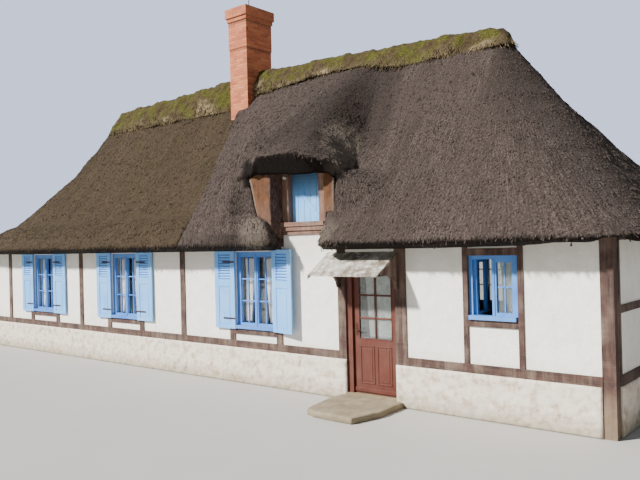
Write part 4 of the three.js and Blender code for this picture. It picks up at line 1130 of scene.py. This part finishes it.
for window, (left, right) in LEFT_WINDOWS.items():
    turn = AJAR if window == "middle" else 0.0
    for side, hinge_x, side_turn in (("right", right - INSET, turn), ("left", left + INSET, 0.0)):
        node = f"{window}_shutter_{side}"
        shutter = add_object(f"louvred_{node}", shutter_mesh(side, hinge_x, side_turn))
        place_piece(shutter, BLUE_SHUTTER, [node])


# Shutter straps

STRAP_Y = (-0.049, -0.045)
STRAP_LENGTH, STRAP_HEIGHT = 0.3, 0.03
STRAP_LEVELS = (1.05, 2.1)


def straps():
    """Two straps on each closed shutter."""
    boxes = []
    for window, (left, right) in LEFT_WINDOWS.items():
        for level in STRAP_LEVELS:
            z = (level, level + STRAP_HEIGHT)
            if window != "middle":
                boxes.append(((right - INSET, right + STRAP_LENGTH), STRAP_Y, z))
            boxes.append(((left - STRAP_LENGTH, left + INSET), STRAP_Y, z))
    return boxes


wooden("shutter_straps", straps(), IRON, 0.001)


# Loft door

LOFT_X = (-5.426, -4.736)
LOFT_Z = (2.800, 3.660)
LOFT_FRONT = 0.100
LOFT_COUNT = 5
LEDGE_Z = (3.50, 3.59)
BRACE_START, BRACE_END = (-5.18, 3.28), (-4.78, 2.82)


def loft_door_mesh():
    """Upright boards with a ledge and a slanting brace before them."""
    left, right = LOFT_X
    pitch = (right - left) / LOFT_COUNT
    board_y = (LOFT_FRONT + 0.012, LOFT_FRONT + 0.035)
    boxes = [
        drawn((left + pitch * i + 0.002, left + pitch * (i + 1) - 0.002), board_y, LOFT_Z)
        for i in range(LOFT_COUNT)
    ]
    boxes.append(drawn((left + 0.01, right - 0.01), (LOFT_FRONT + 0.001, LOFT_FRONT + 0.012), LEDGE_Z))
    start, end = (at(x, LOFT_FRONT + 0.0065, z) for x, z in (BRACE_START, BRACE_END))
    reach = end - start
    turn = Matrix.Rotation(math.atan2(-reach.z, reach.x), 4, "Y")
    brace = ((-reach.length / 2, reach.length / 2), (-0.0055, 0.0055), (-0.035, 0.035))
    brace_mesh = boards_mesh("brace", [brace], move=Matrix.Translation((start + end) / 2) @ turn)
    return joined("loft_door_boards", [boards_mesh("boards", boxes), brace_mesh])


place_piece(add_object("loft_door_boards", loft_door_mesh()), BLUE_LOFT, ["loft_door"])


# Front door

PANES_X = (-3.985, -3.375)
PANES_Z = (0.887, 1.900)
PANES_MIDDLE = sum(PANES_X) / 2
PANEL_Z = (0.16, 0.776)
BAR = 0.028
LEAF_FACE = 0.0605


def door_bars():
    boxes = []
    for y in ((0.060, 0.0745), (0.0815, 0.100)):
        boxes.append(((PANES_MIDDLE - BAR / 2, PANES_MIDDLE + BAR / 2), y, PANES_Z))
        for z in (1.212, 1.5765):
            boxes.append((PANES_X, y, (z - BAR / 2, z + BAR / 2)))
    return boxes


def moulding_frame(x, z, y, width):
    inner = (x[0] + width, x[1] - width)
    return [
        ((x[0], inner[0]), y, z), ((inner[1], x[1]), y, z),
        (inner, y, (z[0], z[0] + width)), (inner, y, (z[1] - width, z[1])),
    ]


def door_mouldings():
    """Frames round the two lower panels and the panes, raised panels and a weather board."""
    boxes = []
    for x in ((PANES_X[0], PANES_MIDDLE - 0.025), (PANES_MIDDLE + 0.025, PANES_X[1])):
        boxes += moulding_frame(x, PANEL_Z, (0.052, LEAF_FACE), 0.022)
        boxes.append(((x[0] + 0.045, x[1] - 0.045), (0.055, LEAF_FACE), (0.205, 0.731)))
    around = (PANES_X[0] - 0.016, PANES_X[1] + 0.016)
    boxes += moulding_frame(around, (0.871, 1.916), (0.0545, LEAF_FACE), 0.016)
    boxes.append(((-4.09, -3.27), (0.044, LEAF_FACE), (0.03, 0.09)))
    return boxes


wooden("door_glazing_bars", door_bars(), RED_PAINT, body="door")
wooden("door_mouldings", door_mouldings(), RED_PAINT, body="door")


# Window bars

HALF_BAR = 0.011
BAR_Y, SMALL_BAR_Y, COVER_Y = (0.058, 0.088), (0.060, 0.086), (0.030, 0.0405)
FRONT_WINDOW_Z, BACK_WINDOW_Z = (0.885, 2.300), (1.0, 2.2)
BACK_WINDOWS = ((-4.600, -3.700), (-12.400, -11.500))
HOUSE_DEPTH = 5.0
ROWS = 3


def window_bars(left, right, bottom, top, flip=None):
    """Glazing bars and the cover strip of the two casements of a closed window."""
    middle = (left + right) / 2
    z = (bottom + 0.105, top - 0.1)
    boxes = []
    for x in ((left + 0.1, middle - 0.045), (middle + 0.045, right - 0.1)):
        centre = sum(x) / 2
        boxes.append(((centre - HALF_BAR, centre + HALF_BAR), BAR_Y, z))
        for row in range(1, ROWS):
            level = z[0] + (z[1] - z[0]) * row / ROWS
            boxes.append((x, BAR_Y, (level - HALF_BAR, level + HALF_BAR)))
    boxes.append(((middle - 0.02, middle + 0.02), COVER_Y, (bottom + 0.06, top - 0.055)))
    if flip is not None:
        boxes = [(x, (flip - y[1], flip - y[0]), z) for x, y, z in boxes]
    return boxes


bars = [
    ((-1.4845, -1.4625), SMALL_BAR_Y, (1.40, 2.10)),
    ((-1.588, -1.358), SMALL_BAR_Y, (1.745, 1.767)),
    ((-1.653, -1.613), COVER_Y, (1.355, 2.145)),
]
for left, right in LEFT_WINDOWS.values():
    bars += window_bars(left, right, *FRONT_WINDOW_Z)
for left, right in BACK_WINDOWS:
    bars += window_bars(left, right, *BACK_WINDOW_Z, HOUSE_DEPTH)
wooden("window_bars", bars, BLUE_WINDOW)


# Curtains

CLOTH_ACROSS, CLOTH_UP = 84, 26
CLOTH_THICK = 0.0015
DOOR_CLOTH_Y, DOOR_CLOTH_Z = (0.087, 0.103), (0.90, 1.89)
SMALL_CLOTH_Y, SMALL_CLOTH_Z = (0.115, 0.165), (1.42, 2.12)
WINDOW_CLOTH_Y, WINDOW_CLOTH_Z = (0.13, 0.19), (1.0, 2.19)
DOOR_CURTAINS = {"left": ((-3.88, 0.07), (-3.69, 0), 6), "right": ((-3.67, 0.03), (-3.385, 0), 7)}


def curtain(name, hangs_from, left, right, depth, folds, z_span, bow=1.0, body="cottage"):
    """A gathered cotton curtain. Each edge is its place at the head and its drift down to the foot."""
    bottom, top = z_span
    height = top - bottom
    points, weave = [], []
    for j in range(CLOTH_UP + 1):
        rise = j / CLOTH_UP
        start, end = (place + drift * (1 - rise) ** bow for place, drift in (left, right))
        for i in range(CLOTH_ACROSS + 1):
            share = i / CLOTH_ACROSS
            swing = math.sin(math.tau * folds * share + 0.7 * math.sin(3 * rise + share * 5))
            out = 0.5 + 0.5 * swing * (0.75 + 0.25 * math.cos(4 * rise))
            y = depth[0] + (depth[1] - depth[0]) * out
            points.append(tuple(at(start + (end - start) * share, y, bottom + height * rise)))
            weave.append((share * folds * 0.1, rise * height))
    mesh = shape_mesh(name, points, grid_faces(CLOTH_ACROSS, CLOTH_UP))
    layer = mesh.uv_layers.new(name="weave")
    for loop in mesh.loops:
        layer.data[loop.index].uv = weave[loop.vertex_index]
    obj = add_object(name, mesh)
    thickness = obj.modifiers.new("cloth thickness", "SOLIDIFY")
    thickness.thickness = CLOTH_THICK
    thickness.offset = 0
    settle(obj)
    place_piece(obj, COTTON, smooth=True, body=body)


for side, (left, right, folds) in DOOR_CURTAINS.items():
    curtain(
        f"door_curtain_{side}", "front_door", left, right, DOOR_CLOTH_Y, folds, DOOR_CLOTH_Z, body="door",
    )
curtain(
    "right_window_curtain", "right_window", (-1.58, 0.13), (-1.365, 0), SMALL_CLOTH_Y, 7, SMALL_CLOTH_Z, 1.3,
)
for window, (left, right) in LEFT_WINDOWS.items():
    middle = (left + right) / 2
    halves = {
        "right": ((middle + 0.1, 0.14), (right - 0.11, 0)),
        "left": ((left + 0.11, 0), (middle - 0.1, -0.14)),
    }
    for side, edges in halves.items():
        node = f"{window}_window"
        curtain(f"{node}_curtain_{side}", node, *edges, WINDOW_CLOTH_Y, 8, WINDOW_CLOTH_Z)


# Plinth of rubble stones

GRID_STEP = 0.028
STONES_PER_METRE, COURSES_PER_METRE = 4.2, 6.5
STONE_BULGE = 0.017
END_MARGIN, BACK_DEPTH = 0.002, 0.002
# The axis that each plinth faces along and which way
PLINTH_FACES = {
    "front_plinth_right": (1, -1), "front_plinth_left": (1, -1), "back_plinth": (1, 1),
    "right_end_plinth": (0, 1), "left_end_plinth": (0, -1),
}


def rubble_mesh(node, facing, way):
    """A skin of bulging stones on the outer face of a plinth node."""
    low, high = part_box(node)
    axis = 1 - facing
    start, end = low[axis] + END_MARGIN, high[axis] - END_MARGIN
    face = (high if way > 0 else low)[facing]
    across, up = max(2, round((end - start) / GRID_STEP)), round(high.z / GRID_STEP)
    skin, back = [], []
    for j in range(up + 1):
        z = high.z * j / up
        for i in range(across + 1):
            along = start + (end - start) * i / across
            wander = 0.4 * noise.noise(Vector((along * 2, z * 2, 3)))
            near = noise.voronoi(Vector((along * STONES_PER_METRE + wander, z * COURSES_PER_METRE, face)))[0]
            joint = min(1.0, (near[1] - near[0]) * 3.2)
            lump = 0.5 + 0.5 * noise.noise(Vector((along * 9, z * 9, face)))
            rim = 0.0 if i in (0, across) or j in (0, up) else 1.0
            proud = 0.001 + rim * (STONE_BULGE * joint ** 0.6 * (0.6 + 0.4 * lump))
            for layer, depth in ((skin, proud), (back, -BACK_DEPTH)):
                point = [along, along, z]
                point[facing] = face + way * depth
                layer.append(tuple(point))
    count = len(skin)
    quads = grid_faces(across, up)
    faces = quads + [tuple(corner + count for corner in reversed(quad)) for quad in quads]
    row = across + 1
    ring = list(range(row))
    ring += [j * row + across for j in range(1, up + 1)]
    ring += [up * row + i for i in range(across - 1, -1, -1)]
    ring += [j * row for j in range(up - 1, 0, -1)]
    faces += [(b, a, a + count, b + count) for a, b in zip(ring, ring[1:] + ring[:1])]
    return joined("rubble", [shape_mesh("grid", skin + back, faces)])


for node, facing in PLINTH_FACES.items():
    place_piece(add_object(f"{node}_stones", rubble_mesh(node, *facing)), PLINTH, smooth=True)


# Door step

STEP_VOXEL = 0.02
STEP_WEAR = (0.011, 0.35), (0.004, 0.07)


def step_piece():
    obj = remeshed("worn_step", solid_of(["door_step"]), STEP_VOXEL, 3)
    mesh = obj.data
    swell(mesh, *STEP_WEAR, lambda points, normals: np.clip(points[:, 2] / 0.05, 0, 1))
    points, _ = points_and_normals(mesh)
    points[:, 2] = np.maximum(points[:, 2], 0.0)
    move_points(mesh, points)
    place_piece(obj, STEP, ["door_step"], smooth=True)


step_piece()


# Clay cheeks of the dormer

CHEEK_VOXEL = 0.018


def cheek_piece(side, painted_shade_at, pale_at):
    """A hand-rendered clay cheek with an uneven face. painted_shade_at gives each point's share of painted
    shade, pale_at its share of the pale rim.
    """
    node = f"dormer_cheek_{side}"
    obj = remeshed(f"{side}_cheek", solid_of([node]), CHEEK_VOXEL, 2)
    mesh = obj.data
    points, normals = points_and_normals(mesh)
    places = (points - np.array(CORNER)).T
    darkening = painted_shade_at(*places)
    uneven = (0.003 + 0.009 * darkening) * rough(points, 0.08)
    move_points(mesh, points + normals * uneven[:, None])
    add_values(mesh, "darkening", darkening)
    add_values(mesh, "pale", pale_at(*places))
    place_piece(obj, CLAY, [node], smooth=True)


# The left cheek gets painted shade in a strip along its right edge by the post; the right cheek gets none
cheek_piece(
    "left",
    lambda x, y, z: soft_step(x + 0.03 * np.sin(23 * z), -5.68, -5.62),
    lambda x, y, z: 1 - soft_step(x - left_cheek_edge(z), 0.04, 0.06),
)
cheek_piece("right", lambda x, y, z: 0 * x, lambda x, y, z: soft_step(x, -4.41, -4.39))


# Turned pieces: the rod on the chimney and the porcelain knob on the dormer's left post

TURNED_SIDES = 20
ROD_FOOT, KNOB_FOOT = at(-8.55, 2.27, 7.8203), at(-5.465, -0.0003, 3.572)
# Rings of radius and distance from the foot
ROD = ((0.010, 0.0), (0.010, 0.205), (0.004, 0.21))
KNOB = (
    (0.016, 0.0), (0.016, 0.012), (0.026, 0.018), (0.026, 0.030),
    (0.015, 0.036), (0.015, 0.046), (0.025, 0.052), (0.020, 0.066),
)


def turned_mesh(name, rings, foot, along):
    """A closed turned piece that stands on its foot along the given axis."""
    sides = TURNED_SIDES
    turn = Vector((0, 0, 1)).rotation_difference(Vector(along))
    points, faces = [], []
    for radius, height in rings:
        for side in range(sides):
            angle = math.tau * side / sides
            points.append(foot + turn @ Vector((radius * math.cos(angle), radius * math.sin(angle), height)))
    for ring in range(len(rings) - 1):
        for side in range(sides):
            first, second = ring * sides + side, ring * sides + (side + 1) % sides
            faces.append((first, second, second + sides, first + sides))
    faces.append(tuple(reversed(range(sides))))
    faces.append(tuple(range(len(points) - sides, len(points))))
    return shape_mesh(name, points, faces)


rod = turned_mesh("rod", ROD, ROD_FOOT, (0, 0, 1))
place_piece(add_object("chimney_rod", rod), IRON)
knob = turned_mesh("knob", KNOB, KNOB_FOOT, (0, -1, 0))
place_piece(add_object("dormer_knob", knob), PORCELAIN)

for pattern in (REED_STUB, STRAW_STUB, BLOCK):
    bpy.data.objects.remove(pattern)


# Floor and light

FLOOR_SIZE = 240
FILL, FILL_STRENGTH = (0.72, 0.78, 0.88, 1), 0.38
BACKDROP, BACKDROP_STRENGTH = (0.68, 0.76, 1.0, 1), 1.4
SUN_WAY = Vector((0.458, 0.654, -0.602))

bpy.ops.mesh.primitive_plane_add(size=FLOOR_SIZE)
floor = bpy.context.object
floor.name = "floor"
floor.data.materials.append(pale_floor_finish())

sun_data = bpy.data.lights.new("soft_key", "SUN")
sun_data.energy = 11.0
sun_data.angle = math.radians(4)
sun_data.color = (1.0, 0.965, 0.92)
sun = add_object("soft_key", sun_data)
sun.rotation_euler = SUN_WAY.to_track_quat("-Z", "Y").to_euler()

world = bpy.data.worlds.new("soft studio")
bpy.context.scene.world = world
world.use_nodes = True
studio = Recipe(world.node_tree)
fill = world.node_tree.nodes["Background"]
studio.plug(fill.inputs["Color"], FILL)
studio.plug(fill.inputs["Strength"], FILL_STRENGTH)
seen = studio.add("ShaderNodeBackground", {"Color": BACKDROP, "Strength": BACKDROP_STRENGTH})
both = studio.add("ShaderNodeMixShader", {
    0: studio.add("ShaderNodeLightPath", {}, "Is Camera Ray"), 1: fill.outputs[0], 2: seen,
})
studio.plug(world.node_tree.nodes["World Output"].inputs[0], both)
